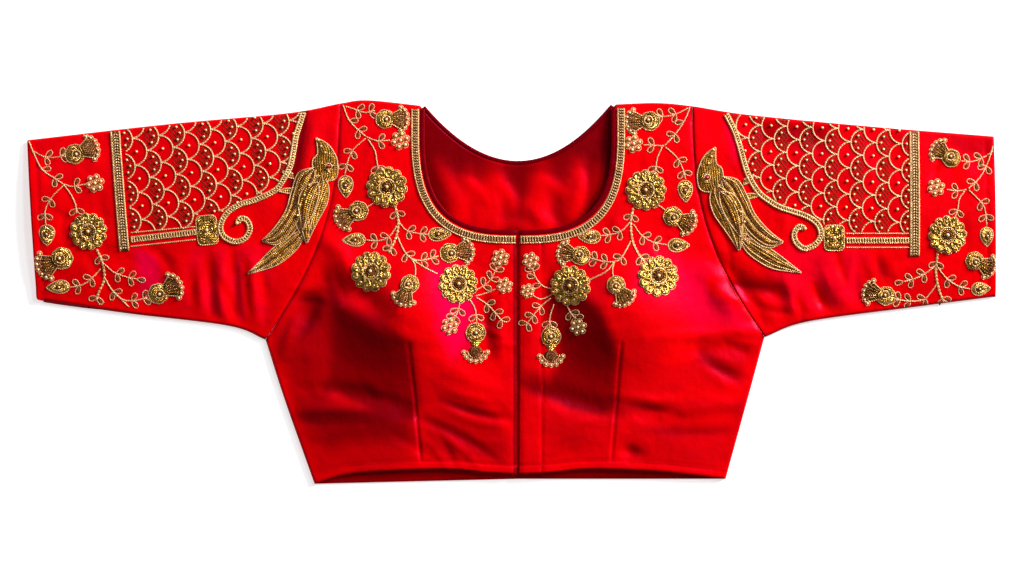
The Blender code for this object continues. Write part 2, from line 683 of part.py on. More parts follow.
def finish(name):
    """A plain Principled material."""
    material = bpy.data.materials.new(name)
    material.use_nodes = True
    shader = material.node_tree.nodes["Principled BSDF"]
    shader.inputs["Base Color"].default_value = (*COLOURS[name], 1)
    shader.inputs["Roughness"].default_value = ROUGHNESS[name]
    shader.inputs["Metallic"].default_value = METALLIC[name]
    return material


def add(pieces, slot, collection):
    material = finish(slot)
    for piece in pieces:
        piece.data.materials.append(material)
        collection.objects.link(piece)


def build():
    for old in list(bpy.data.objects):
        bpy.data.objects.remove(old)
    blouse = bpy.data.collections.new("choli_blouse")
    helpers = bpy.data.collections.new("sections")
    bpy.context.scene.collection.children.link(blouse)
    bpy.context.scene.collection.children.link(helpers)
    front_section = oval("front_piping_section", FRONT_PIPING)
    back_section = oval("back_piping_section", BACK_PIPING)
    helpers.objects.link(front_section)
    helpers.objects.link(back_section)
    fronts = {side: front(side) for side in SIDES}
    sleeves = {side: sleeve(side) for side in SIDES}
    add([back(), *fronts.values(), *sleeves.values(), underlap()], "satin", blouse)
    add([front_piping("right", front_section), front_piping("left", front_section),
         back_piping(back_section)], "piping", blouse)
    places = np.linspace(HOOK_FIRST, HOOK_LAST, HOOK_COUNT)
    add([hook(number + 1, place) for number, place in enumerate(places)], "hook", blouse)
    panels = {"front": fronts, "sleeve": sleeves}
    motifs = []
    for number, row in enumerate(FLOWERS):
        piece, side = row[:2]
        motifs.append(flower(number + 1, row, panels[piece][side]))
    for side in SIDES:
        motifs.append(bird(side, sleeves[side]))
        motifs.append(cuff_border(side, sleeves[side]))
        motifs.append(neck_border(side, fronts[side]))
    add(motifs, "zari", blouse)


build()
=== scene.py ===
"""A choli blouse laid flat on its back, face up: satin panels with their folds, seams and stitching, the
gold embroidery worked on them in cords, coils, pads and beads, and the plain stage it is shown on.

Metres, +Z up. The blouse is drawn with its centre front at x = 0 and its lowest hem corner at y = 0,
then set down with the middle of its outline at the origin. The wearer's right is -X. Outlines are
given as distance out from the centre front; the embroidery's tables are signed and in millimetres.
"""

import json
import math

import bpy
import numpy as np
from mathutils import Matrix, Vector

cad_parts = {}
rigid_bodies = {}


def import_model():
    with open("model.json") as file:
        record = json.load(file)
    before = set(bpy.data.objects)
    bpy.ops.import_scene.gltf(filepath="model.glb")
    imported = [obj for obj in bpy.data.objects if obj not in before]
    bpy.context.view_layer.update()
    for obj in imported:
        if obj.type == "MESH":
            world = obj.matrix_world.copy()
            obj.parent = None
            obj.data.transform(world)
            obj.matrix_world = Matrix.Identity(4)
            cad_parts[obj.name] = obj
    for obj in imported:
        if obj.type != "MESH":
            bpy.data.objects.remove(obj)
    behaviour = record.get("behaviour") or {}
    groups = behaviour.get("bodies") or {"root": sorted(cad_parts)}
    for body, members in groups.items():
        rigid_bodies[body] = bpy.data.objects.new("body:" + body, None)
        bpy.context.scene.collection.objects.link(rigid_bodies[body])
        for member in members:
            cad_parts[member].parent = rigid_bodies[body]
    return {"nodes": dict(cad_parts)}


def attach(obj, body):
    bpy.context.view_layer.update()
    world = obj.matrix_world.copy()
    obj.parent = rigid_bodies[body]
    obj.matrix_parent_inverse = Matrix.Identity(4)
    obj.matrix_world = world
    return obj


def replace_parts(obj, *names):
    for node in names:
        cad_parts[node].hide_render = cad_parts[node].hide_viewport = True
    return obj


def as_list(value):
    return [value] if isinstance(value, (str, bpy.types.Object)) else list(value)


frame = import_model()

bl_info = {
    "name": "Choli Blouse",
    "version": (1, 0, 0),
    "blender": (4, 5, 0),
    "location": "3D View > Sidebar > Blouse",
    "description": "Builds an embroidered choli blouse laid flat, piece by piece",
    "category": "Add Mesh",
}

MM = 0.001
# Cloth and seams
CLOTH = 0.0014  # satin, interlining and lining together
SEAM_GAP = 0.0003
UNDERLAP_ROOM = 0.0014  # between the lap and the underlap
FOLD_REACH = 0.0030  # how far in plan a folded edge takes to turn over
FOLD_HEIGHT = 0.0050  # both layers together, beside a folded edge
FRONT_SEAT = 0.0023  # where a front's turned edge starts, just above the back
LOFT = 0.0056  # how much higher the upper layer lies well inside the edges
LOFT_REACH = 0.034
LOFT_SHAPE = 1.4  # above 1 it leaves a folded edge level, then rises

# Plan outline: distance out from the centre front, and height above the lowest hem corner
OUTLINE = {
    "neck_point": {"right": (0.0880, 0.3555), "left": (0.0880, 0.3570)},
    "shoulder_crest": {"right": (0.1410, 0.3610), "left": (0.1300, 0.3585)},
    "shoulder_tip": {"right": (0.1675, 0.3580), "left": (0.1640, 0.3555)},
    "sleeve_bend": {"right": (0.2160, 0.3490), "left": (0.2160, 0.3475)},
    "sleeve_crest": {"right": (0.3300, 0.3385), "left": (0.3300, 0.3365)},
    "cuff_top": {"right": (0.4615, 0.3235), "left": (0.4475, 0.3270)},
    "cuff_turn": {"right": (0.4530, 0.1840), "left": (0.4493, 0.1840)},
    "cuff_bottom": {"right": (0.4460, 0.1725), "left": (0.4470, 0.1760)},
    "sleeve_low": {"right": (0.3666, 0.1605), "left": (0.3666, 0.1655)},
    "sleeve_near": {"right": (0.2720, 0.1485), "left": (0.2720, 0.1525)},
    "underarm": {"right": (0.2375, 0.1355), "left": (0.2320, 0.1380)},
    "side_middle": {"right": (0.2195, 0.0790), "left": (0.2160, 0.0790)},
    "hem_corner": {"right": (0.1915, 0.0), "left": (0.1955, 0.0047)},
}
# The armhole leaves the shoulder straight down, and reaches the underarm along its second handle
ARMHOLE_TIP_HANDLE = (0.0, -0.084)
ARMHOLE_UNDERARM_HANDLE = (-0.060, 0.086)

# Necklines
NECK_HALF = 0.0880
FRONT_NECK_CENTRE = 0.3345  # below this height the front neckline rounds in
FRONT_NECK_DROP = 0.0962
FRONT_NECK_SQUARENESS = 2.9  # exponent of the superellipse
NECK_BEND = 0.045  # extra length that each radian of the front neckline counts as, to divide it finer there
BACK_NECK_BOTTOM = 0.3036
BACK_NECK_SPREAD = 1.3  # its sides slope, so an even margin takes more room across
FRONT_PIPING = {"width": 0.0040, "height": 0.0022}
BACK_PIPING = {"width": 0.0030, "height": 0.0021}

# Hems and the centre opening
FRONT_HEM_ARC = [(0.0, 0.0100), (0.030, 0.0115), (0.060, 0.0145), (0.090, 0.0143), (0.132, 0.0122),
                 (0.165, 0.0085)]
BACK_HEM_MIDDLE = 0.0047
CENTRE_EDGE = {"right": 0.0012, "left": 0.0008}
UNDERLAP = {"right": 0.0200, "left": 0.0120, "bottom": 0.0150, "top": 0.2290}

# Bust cups, each a rounded mound that falls away faster below its point
CUP_RISE = 0.0175
CUPS = {
    "right": {"x": 0.1060, "y": 0.1620, "across": 0.0800, "above": 0.0900, "below": 0.0780},
    "left": {"x": 0.1030, "y": 0.1620, "across": 0.0800, "above": 0.0900, "below": 0.0780},
}

# The large flowers: signed x, y and radius, in mm. Their order is that of the solids they replace
FLOWERS = [
    (-123, 279, 19), (-137.6, 199.6, 18.5), (-56.2, 188.1, 18), (119.9, 276.2, 18.8), (131.1, 195.4, 18.8),
    (49.1, 186.4, 18.5), (-403.2, 237.4, 17.2), (403, 234.1, 17.8),
]
CUFF_BORDER = {"width": 0.0094, "right": ((0.3793, 0.3370), (0.3694, 0.2190)),
               "left": ((0.3724, 0.3370), (0.3724, 0.2140))}
NECK_BORDER = {"width": 0.0074, "out": 0.0088}  # the middle of the border, out from the finished edge

# Largest folds of the upper layer, in mm: x and y of both ends, how far the middle swings to the left of
# the line from first to second end, width, and height, which is below 0 for a trough
CREASES = {
    "right": [
        (186, 236, 150, 172, -8, 9.5, 4), (180, 192, 120, 152, -6, 12, -4.5), (204, 186, 190, 140, 0, 13, -3),
        (226, 116, 206, 146, 0, 8, 2.5), (205, 66, 98, 58, -4, 10, 2.2), (192, 82, 120, 76, -4, 10, -2.2),
        (80, 120, 12, 86, 4, 9, 1.8), (300, 205, 297, 150, 0, 8, 2), (279, 212, 276, 148, 0, 7.5, 2.4),
        (252, 218, 249, 144, 0, 8.5, 2.8), (266, 210, 262, 146, 0, 7, -2.6), (289, 205, 286, 150, 0, 7, -2),
        (330, 200, 350, 160, 0, 9, -1.6), (400, 230, 345, 205, 4, 10, -1.2),
    ],
    "left": [
        (186, 212, 230, 150, 4, 8, -4.2), (168, 206, 208, 148, 4, 10, 3), (214, 190, 262, 172, 0, 9, -3),
        (120, 138, 226, 142, 0, 6, 1.8), (160, 128, 222, 120, 4, 9, -2.6), (108, 68, 158, 60, -3, 9, -2.2),
        (96, 33, 112, 27, 0, 8, -2), (34, 88, 82, 70, 3, 11, -2), (250, 196, 262, 150, 2, 8, 2.4),
        (276, 190, 294, 158, 0, 8, -2.6), (292, 206, 312, 160, 0, 8.5, 2.2), (314, 198, 324, 162, 0, 7.5, -1.8),
        (250, 338, 300, 326, 0, 12, -1.4),
    ],
}
CREASE_END = 0.12  # a crease's taper is a sine, from this share of its half wave to the like at the far end
CREASE_FADE = 0.016  # folds fade out this far from a folded edge
# Soft ripples of the back where it shows inside the neck, in the same columns; x here is signed
BACK_RIPPLES = [
    (-46, 292, -52, 238, 0, 11, 2), (-22, 296, -26, 230, 0, 12, 2.8), (22, 296, 18, 230, 0, 13, 2.6),
    (52, 300, 56, 236, 0, 12, 1.8), (-74, 300, -58, 246, 4, 8.5, 2.1), (-52, 288, -28, 262, 2, 6, 1.3),
    (-34, 262, -44, 238, 2, 7, 1.9), (-16, 284, -4, 252, 3, 6.5, 1.7), (10, 262, 36, 240, -3, 7, 2),
    (22, 286, 46, 270, 2, 6, 1.2), (58, 300, 48, 256, 4, 7.5, 1.8), (78, 304, 72, 262, 2, 8, 1.8),
    (-20, 244, 16, 238, 2, 6, 1.2),
]

SIDES = {"right": -1, "left": 1}

# Finer creases of the satin than the folds above, in the same columns
FINE_CREASES = {
    "right": [
        (180, 212, 162, 162, -3, 9, 2.2), (162, 162, 98, 135, 3, 10, 1.8), (177, 90, 92, 64, -3, 8, -1.8),
        (173, 201, 163, 171, -1, 4.5, -2.2), (212, 184, 177, 186, 2, 4, 1), (209, 173, 180, 169, -2, 4, -1),
        (219, 133, 209, 156, 0, 4, 1.6), (205, 135, 188, 173, 2, 5, -1.2), (73, 92, 17, 79, 3, 5, 1.2),
        (73, 79, 9, 62, 3, 4.5, -1.6), (68, 71, 11, 55, 3, 5, 1.3), (92, 62, 17, 21, -4, 4.5, -1.2),
        (83, 51, 36, 17, -3, 4, 0.9), (87, 41, 68, 17, -2, 3.5, 0.8), (77, 49, 58, 17, -2, 3.5, -0.8),
        (219, 62, 111, 64, 0, 6, -1.4), (209, 45, 149, 51, 1, 7, 0.8), (30, 177, 23, 120, 2, 6, -1.6),
        (17, 173, 15, 117, 0, 5, 1), (256, 209, 250, 152, 1, 4.2, -1.9), (278, 190, 267, 152, -1, 4.2, -1.6),
        (305, 199, 303, 167, 1, 4.5, -1.5), (346, 222, 325, 201, -3, 5, -1.6), (290, 218, 291, 188, 0, 5, -0.9),
        (268, 220, 271, 196, 0, 4.5, -1), (244, 199, 235, 173, 0, 5, -0.9), (318, 209, 314, 171, 1, 6, 1),
        (284, 188, 278, 156, 0, 5, 1.2), (261, 209, 259, 152, 0, 4, 1.2), (199, 353, 212, 271, 0, 5, -2),
        (188, 353, 203, 286, 0, 6, 1.4), (449, 305, 444, 276, 0, 5, 0.7), (438, 261, 414, 246, 2, 5, -0.9),
        (393, 271, 387, 239, 0, 5, -0.7),
    ],
    "left": [
        (36, 209, 79, 165, -3, 10, 2), (79, 165, 96, 120, -2, 10, 1.6), (6, 94, 92, 66, -2, 8, -1.6),
        (86, 79, 152, 64, 2, 4.5, -1.5), (102, 83, 149, 79, -3, 5, 1.2), (115, 58, 211, 75, 3, 6, 1),
        (115, 51, 209, 51, -2, 5, -0.9), (100, 34, 118, 28, 0, 4.5, -1.2), (39, 49, 77, 60, 2, 5, 0.8),
        (36, 36, 68, 45, 2, 4.5, -0.7), (171, 124, 211, 100, -3, 6, -1.5), (179, 105, 212, 86, -2, 5, 1.1),
        (186, 137, 220, 124, 0, 4, -1), (192, 139, 227, 138, 0, 3.5, -1.3), (182, 188, 243, 182, 2, 5.5, -2),
        (186, 175, 239, 167, 2, 5, 1.2), (211, 177, 265, 158, -3, 4.5, -1.5), (261, 175, 271, 152, 0, 4, -1.7),
        (278, 186, 291, 160, 0, 4, -1.5), (298, 220, 312, 182, -2, 4, -1.1), (314, 212, 310, 180, 0, 4, 0.9),
        (337, 214, 346, 192, 0, 5, -1.3), (284, 212, 299, 173, -2, 4.5, 0.9), (323, 209, 333, 173, 0, 4, -0.9),
        (252, 190, 258, 164, 0, 5, 1.2), (420, 305, 427, 280, 0, 5, 0.7), (414, 254, 421, 220, 2, 5, -1),
        (387, 293, 415, 297, 0, 5, -0.7), (361, 209, 382, 218, 0, 5, -0.9), (17, 173, 11, 124, 0, 5, 1),
        (28, 203, 23, 145, 1, 5, -1),
    ],
}

# Painted shade (above 0) and painted highlight (below 0) on the satin: strength, how soft its edge is, and its
# corners, in mm
PAINTED_LIGHT_PATCHES = {
    "right": [
        (-0.55, 12, [(83, 203), (53, 209), (38, 173), (41, 131), (62, 117), (77, 145)]),
        (-0.2, 12, [(308, 225), (224, 225), (235, 149), (318, 164)]),
        (-0.5, 8, [(360, 220), (337, 220), (332, 173), (355, 173)]),
        (0.78, 9, [(180, 209), (164, 168), (125, 158), (98, 133), (88, 77), (102, 64), (132, 70), (163, 85),
         (177, 94), (175, 131), (173, 164)]),
        (0.56, 11, [(205, 180), (175, 199), (163, 168), (172, 84), (100, 63), (92, 41), (177, 37), (212, 79),
         (222, 117), (216, 154)]),
        (0.42, 13, [(212, 74), (100, 63), (92, 13), (194, 4), (205, 41)]),
        (0.46, 10, [(88, 105), (64, 98), (17, 65), (6, 41), (12, 21), (73, 21), (88, 27)]),
        (0.55, 3, [(207, 353), (196, 353), (205, 305), (212, 269), (220, 262), (214, 305)]),
        (0.9, 1.3, [(5, 232), (0, 232), (0, 10), (4.5, 10)]),
        (0.35, 6, [(32, 182), (15, 173), (17, 117), (28, 115)]),
        (0.3, 10, [(374, 333), (205, 350), (212, 276), (275, 253), (285, 234), (369, 229)]),
    ],
    "left": [
        (-0.38, 18, [(115, 225), (171, 209), (220, 145), (171, 145), (105, 182)]),
        (-0.2, 12, [(227, 229), (340, 220), (331, 173), (246, 152)]),
        (0.76, 9, [(33, 199), (54, 184), (77, 165), (93, 133), (95, 71), (77, 67), (49, 73), (32, 93),
         (36, 126), (28, 164)]),
        (0.55, 9, [(3, 111), (39, 105), (51, 77), (11, 83), (2, 93)]),
        (0.3, 10, [(21, 65), (94, 65), (94, 17), (21, 17)]),
        (0.4, 6, [(98, 77), (171, 81), (212, 79), (212, 66), (171, 64), (98, 66)]),
        (0.34, 12, [(101, 60), (211, 68), (204, 15), (98, 17)]),
        (0.38, 9, [(167, 133), (218, 130), (211, 86), (180, 98), (165, 115)]),
        (0.34, 6, [(182, 190), (211, 184), (243, 188), (243, 175), (211, 171), (182, 180)]),
        (0.55, 8, [(224, 344), (293, 337), (290, 314), (227, 323)]),
        (0.5, 8, [(401, 331), (448, 325), (448, 306), (415, 308)]),
        (0.3, 10, [(213, 344), (370, 333), (370, 229), (298, 229), (256, 258), (223, 286)]),
        (-0.35, 5, [(192, 344), (201, 344), (211, 306), (201, 303)]),
        (0.25, 6, [(335, 218), (352, 209), (346, 192), (333, 197)]),
    ],
}
# The dark facet of each bust cup also sinks away from the light
FACET_DEPTH = 0.0020
FACETS = {"right": 3, "left": 2}  # which row of each side's patches that is
FACET_FALL = (0.82, 0.57)  # the way up it, outwards and upwards
FACET_SOFT = 14
# Painted shade beside each seam and folded edge: strength and reach
SEAM_PAINTED_SHADE = {"armhole": (0.55, 0.0014), "underside": (0.7, 0.0028), "side": (0.3, 0.0020)}

# Stitching and seams of the panels
DARTS = {"right": ((0.1025, 0.1325), (0.0912, 0.0235)), "left": ((0.0968, 0.1325), (0.0880, 0.0235))}
PLACKET = ((0.0226, 0.0115), (0.0226, 0.2290))
HEM_TURN = 0.0075
HEM_THICKNESS = 0.00025
SEAM_DIP, SEAM_SOFTNESS = 0.0010, 0.0018
STITCH_DIP, STITCH_SOFTNESS = 0.0008, 0.0013
DART_DIP, DART_SOFTNESS = 0.0005, 0.0016
OPENING_ROLL, OPENING_SOFTNESS = 0.0012, 0.0030

# The small creases that lie between the others: how many and the seed of their chance, the span of each
# measure, or for bow and height its spread about 0, and how far out the sleeve's upright ones begin
SCATTERED = {"right": (150, 7), "left": (150, 12)}
SCATTER_X, SCATTER_Y = (0.01, 0.45), (0.02, 0.35)
SCATTER_LENGTH, SCATTER_WIDTH = (0.012, 0.045), (0.0028, 0.0065)
SCATTER_HEIGHT, SCATTER_BOW, SCATTER_LEAN = 0.00042, 0.002, 0.45
UPRIGHT_FROM = 0.24
# Painted shade on cloth that has no patches: its least, what is added where it lies lowest, the height from
# which nothing is, and how far up from the hem the addition is whole
PLAIN_PAINTED_SHADE, LOW_PAINTED_SHADE, PLAIN_BELOW, PLAIN_UP = 0.15, 0.8, 0.0022, 0.1
HOLLOW_DEPTH, HOLLOW_PAINTED_SHADE = 0.0018, 0.55  # a fine crease this deep gets this much more painted shade
# How the pipings are formed: how far their bias strip goes in under the cloth, in seam gaps, and how the cord
# inside bunches it between stitches, as shares of its height and wave lengths
PIPING_INSET = 2.8
PIPING_BUNCHES = ((0.03, 0.0045), (0.02, 0.0118))

# How the embroidery's threads and pads are formed
STITCH_SWELL = 0.24
THREAD_HEIGHT = 0.62  # a thread's height as a share of its width
THREAD_FOOT = 0.22  # where its widest line lies, as a share of its height
THREAD_END = 0.25  # how full it still is at its very end
GROUND = 0.0006  # height of the padded ground under a border
BLADE_LINES, BLADE_STEP, BLADE_END = 9, 0.0009, 0.006
BUD_FLANK = ((0.55, 0.45), (1.2, 0.80), (1.8, 1.12), (2.15, 0.95))
LEAF_LEAN = {"l": 0.95, "r": -0.95, "e": 0.0}
THREAD_SECTION = (-24, 22, 67, 113, 158, 204)
SUNK = 0.0002  # how far pads reach into the cloth
RIM_SHARE = 0.35
DROP_POINT = 0.8

# How finely the cloth is divided
NECK_SHARE = {"front": 0.66, "back": 0.58}
SEAM_SHARE = 0.38
PANEL_WIDTH, PANEL_HEIGHT, SLEEVE_WIDTH = 0.20, 0.34, 0.16
FRONT_COLUMNS = (96, 40)
PANEL_ROWS = (52, 90)
BACK_COLUMNS = (52, 24)
BACK_ROWS = (42, 74)
SLEEVE_STATIONS = 138
SLEEVE_LINES = 84
TURN_ANGLES = (0, 14, 28, 42, 56, 72, 90)
LEAST_SHARE = 0.006
NEARLY_ALL = 0.985

# The large motifs of the sleeves lie beyond this x, in mm, and those of the fronts within it
SLEEVE_FROM = 250

# The stage: each light's name, place, width and power
LIGHTS = (
    ("key", (3.74, 2.62, 2.03), 2.0, 520.0),
    ("overhead", (2.00, 1.40, 3.15), 0.8, 30.0),
    ("fill", (-2.00, 1.60, 3.10), 2.0, 16.0),
)
CAMERA_PLACE = (0.0005, 0.0108, 3.0)
CAMERA_LENS = 112.0
FLOOR_REACH, FLOOR_LEVEL = 3.0, -0.0004
WORLD_LIGHT = 0.10

# Each piece of cloth: its cut width and length, its cut area, what it rests on, and what is sewn on it
SHEETS = {
    "cloth_back": ((0.470, 0.361), 0.133, [], ["corded_edge_back"]),
    "cloth_underlap": ((0.032, 0.214), None, ["cloth_back"], []),
    "cloth_front_right": (
        (0.236, 0.361), 0.060, ["cloth_back", "cloth_underlap"],
        ["corded_edge_right", "neck_border_right", "stems_front_right", "buds_front_right", "sewn_flower_1",
         "sewn_flower_2", "sewn_flower_3", "hook_1", "hook_2", "hook_3", "hook_4", "hook_5", "hook_6"]),
    "cloth_front_left": (
        (0.231, 0.354), 0.059, ["cloth_back", "cloth_underlap"],
        ["corded_edge_left", "neck_border_left", "stems_front_left", "buds_front_left", "sewn_flower_4",
         "sewn_flower_5", "sewn_flower_6"]),
    "cloth_sleeve_right": (
        (0.444, 0.294), 0.100, [],
        ["cuff_border_right", "bands_right", "net_right", "stems_sleeve_right", "buds_sleeve_right",
         "sewn_flower_7", "sewn_bird_right"]),
    "cloth_sleeve_left": (
        (0.434, 0.294), 0.097, [],
        ["cuff_border_left", "bands_left", "net_left", "stems_sleeve_left", "buds_sleeve_left",
         "sewn_flower_8", "sewn_bird_left"]),
}

# The embroidery's layout, in signed mm. Each stem has its points, its width, and where its leaves grow, as
# shares of its length: a pair of leaves, or with l, r or e one to the left, to the right or at the end
STEMS = [
    ([(-459.9, 322.4), (-454, 308.3), (-446.5, 295.2), (-435.8, 287.6), (-427.1, 282)], 1.3, [(0.55, "l"),
     0.82]),
    ([(-455.9, 313), (-445.6, 307.8), (-435.2, 306.9), (-424.9, 309.7)], 1.1, [0.4, 0.85]),
    ([(-427.1, 282), (-419.2, 279.6), (-412, 280.6), (-405.1, 282)], 1.2, [0.5]),
    ([(-427.1, 282), (-419.5, 271.7), (-415.2, 261.7), (-414.2, 254.2)], 1.3, [0.86]),
    ([(-427.1, 280.1), (-435.8, 271.7), (-441.1, 264.1), (-443.9, 255.7), (-443.2, 243.5)], 1.1, [0.4, 0.76]),
    ([(-395.7, 220.9), (-390.1, 207.7), (-388.8, 192.7), (-393.9, 180.5), (-396.9, 172)], 2.2, [0.15, 0.92]),
    ([(-392, 202.4), (-401.4, 192.7), (-409.8, 187.1), (-421.7, 184.7)], 1.3, [0.34, 0.72]),
    ([(-388.2, 206.8), (-379.8, 199.3), (-367.7, 194.6), (-358.1, 192.7)], 1.1, [0.42, 0.78, (1, "e")]),
    ([(-388.2, 193.6), (-380.7, 181.4), (-371, 173.2), (-360.2, 172.5), (-348.2, 175.4)], 1.3, [0.3, 0.7,
     0.92]),
    ([(-378.8, 179.5), (-371.3, 172), (-365.7, 166.4)], 1.2, []),
    ([(446.5, 317.7), (441.4, 302.7), (435.2, 290.5), (428.6, 282.9), (422.1, 277.3)], 1.3, [0.42, 0.8]),
    ([(446.5, 313), (438, 307.4), (426.8, 303.1), (415.5, 303.6)], 1.1, [0.38, 0.75]),
    ([(421.1, 276.7), (412.7, 275.4), (402.3, 276.8)], 1.2, [0.45]),
    ([(419.2, 275.4), (414.1, 267.9), (412.7, 259.4), (409.8, 250)], 1.3, [0.72]),
    ([(423, 276.4), (432.4, 267), (437.7, 259.4), (439.9, 242.5)], 1.1, [0.4, 0.74]),
    ([(393.9, 217.1), (392.4, 201.2), (393.9, 188.9), (397.3, 177.7), (401.4, 170.1)], 2.2, [0.18, 0.9]),
    ([(391.5, 204.9), (381.6, 197.4), (370.4, 192.3), (361.9, 190.3)], 1.3, [0.36, 0.74, (1, "e")]),
    ([(393.4, 188), (387.3, 179.5), (380.7, 173), (366.6, 172), (352.5, 174.4)], 1.3, [0.36, 0.66, 0.86]),
    ([(393.9, 204), (402.3, 193.6), (413.6, 186.1), (424.9, 183.3)], 1.3, [0.38, 0.74]),
    ([(-164.5, 356.3), (-159.8, 344), (-153.2, 335.6), (-142.9, 326.5)], 1.3, [(0.42, "l"), 0.75]),
    ([(-162.6, 355.3), (-154.2, 352.5), (-143.8, 349.2), (-134.4, 351.1)], 1.1, [0.4, 0.82]),
    ([(-142.9, 326.5), (-132.5, 322.4), (-120.3, 322.9)], 1.2, [0.55]),
    ([(-141, 324.3), (-134.4, 313), (-132.5, 302.7), (-130.7, 293.3)], 1.3, [0.84]),
    ([(-142.9, 324.8), (-154.2, 314.9), (-159.8, 303.6), (-162.6, 290.5)], 1.1, [0.42, 0.76]),
    ([(-115.6, 262.3), (-112.3, 246.3), (-114.7, 231.2), (-121.3, 217.1)], 2.2, [0.14, 0.88]),
    ([(-113.7, 242.5), (-121.3, 232.2), (-131.6, 228.4), (-142.9, 229.4)], 1.3, [0.36, 0.7]),
    ([(-113.7, 249.1), (-105.3, 238.8), (-94, 235.5), (-84.6, 234.5)], 1.1, [0.45, 0.8]),
    ([(-113.3, 233.1), (-107.2, 220), (-100.6, 212.4), (-90.2, 210.1), (-74.3, 214.3)], 1.4, [0.36, 0.68,
     0.86]),
    ([(-101.5, 213.4), (-96.8, 206.8), (-95.9, 199.3), (-96.8, 194.6)], 1.2, []),
    ([(-99.6, 211.5), (-88.4, 204), (-75.2, 197.4)], 1.4, []),
    ([(-135.4, 264.1), (-142.9, 259.4)], 1.2, []),
    ([(-41.4, 181.4), (-32.9, 186.1), (-25.4, 192.7), (-19.7, 204)], 1.1, [0.3, 0.6, 0.88]),
    ([(-40.4, 176.7), (-30.1, 179.5), (-20.7, 183.3)], 1.1, []),
    ([(-39.5, 175.8), (-28.2, 168.3), (-19.7, 158.9), (-14.1, 152.3)], 1.2, [0.34, 0.64, 0.92]),
    ([(-54.5, 172), (-56.4, 162.6), (-60.2, 156)], 1.2, [0.42, 0.86]),
    ([(-46.1, 174.8), (-40.4, 164.5), (-39, 152.3)], 1.3, [0.72]),
    ([(161.7, 354.4), (157, 343.1), (148.5, 329.9), (137.2, 317.7)], 1.3, [(0.34, "r"), 0.66]),
    ([(159.8, 353.4), (148.5, 347.8), (136.3, 345.4), (129.7, 347.8)], 1.1, [0.4, 0.8]),
    ([(137.2, 317.7), (127.8, 318.2), (117.5, 318.7)], 1.2, [0.5]),
    ([(135.4, 316.8), (130.7, 306.4), (128.8, 293.3)], 1.3, [0.8]),
    ([(138.2, 316.8), (148.5, 307.4), (154.2, 297), (157.4, 285.8)], 1.1, [0.45, 0.78]),
    ([(108.1, 259.4), (105.8, 246.3), (107.2, 229.4), (112.8, 216.2), (119.4, 207.7)], 2.2, [0.12, 0.86]),
    ([(105.3, 246.3), (96.8, 237.8), (87.4, 234.5), (77.1, 233.1)], 1.3, [0.4, 0.72]),
    ([(108.1, 244.4), (115.6, 234.1), (126, 227.5), (140.1, 224.7)], 1.1, [0.36, 0.68]),
    ([(105.8, 228.4), (97.8, 214.3), (91.2, 209.1), (79.9, 209.1), (66.7, 212.4)], 1.4, [0.34, 0.66, 0.86]),
    ([(90.2, 208.7), (88.4, 201.2), (89.3, 192.7)], 1.2, []),
    ([(90.2, 208.7), (81.8, 199.3), (66.7, 191.8)], 1.4, []),
    ([(131.6, 262.3), (139.1, 256.6)], 1.2, []),
    ([(32.9, 183.3), (23.5, 186.1), (16.9, 193.6), (13.2, 203)], 1.1, [(0.4, "l"), (0.7, "l"), 0.9]),
    ([(32.9, 178.6), (21.6, 173.9), (13.2, 177.7)], 1.1, []),
    ([(31, 174.8), (21.6, 167.3), (12.2, 156), (6.6, 148.5)], 1.2, [0.34, 0.64, 0.9]),
    ([(46.1, 167.3), (49.8, 160.7), (54.5, 155.1)], 1.2, [0.42, 0.86]),
    ([(33.8, 169.2), (30.1, 157.9), (29.6, 147.6)], 1.3, [0.76]),
]
# Buds: place, radius and heading in degrees
BUDS = [
    (-416.4, 310, 9.5, 22), (-428.1, 212.1, 10.4, 205), (-338.2, 178.9, 9.8, 26), (407, 306.2, 8.6, 146),
    (428.6, 209.9, 8.6, -24), (345.8, 176.8, 9, 166), (-125, 343, 9, 0), (-149.8, 256.6, 9.4, 206),
    (-64.3, 217.1, 9.2, 8), (-101.1, 188, 8.6, 246), (124, 341, 9.2, 182), (145.2, 251.5, 9.2, -24),
    (58.8, 214.6, 9, 170), (91.6, 187.1, 8.6, -56),
]
# Buds that hang by their stems, and small flowers of beads: place and radius
HANGING_BUDS = [(-39.8, 142.4, 9.4), (31, 138.7, 9.4)]
BEAD_FLOWERS = [
    (-397.1, 282.7, 9), (392.4, 278.6, 8.6), (-110.4, 322.9, 9.4), (-16.5, 212.6, 8.6), (-12.7, 186.5, 7.8),
    (-63.9, 148.5, 8.4), (108.6, 319.6, 8.8), (11.8, 210.1, 8), (8.9, 181.4, 7), (56.4, 147.6, 8.2),
]
# Drops: place, length, width and heading in degrees
DROPS = [
    (-442.2, 233.7, 20, 15, -88), (-432.5, 185.2, 22.5, 12.6, 184), (439.9, 232.2, 18.5, 12.5, -86),
    (435.2, 183.5, 18.5, 12.2, 4), (-161.7, 279.2, 21.5, 14.2, -88), (-154.2, 229.4, 22, 12.4, 182),
    (-73.3, 234.7, 22, 12.8, 2), (157, 274.9, 21, 14, -86), (151, 224.4, 21, 12.8, 0),
    (66.7, 232.2, 21.5, 12.8, 180),
]
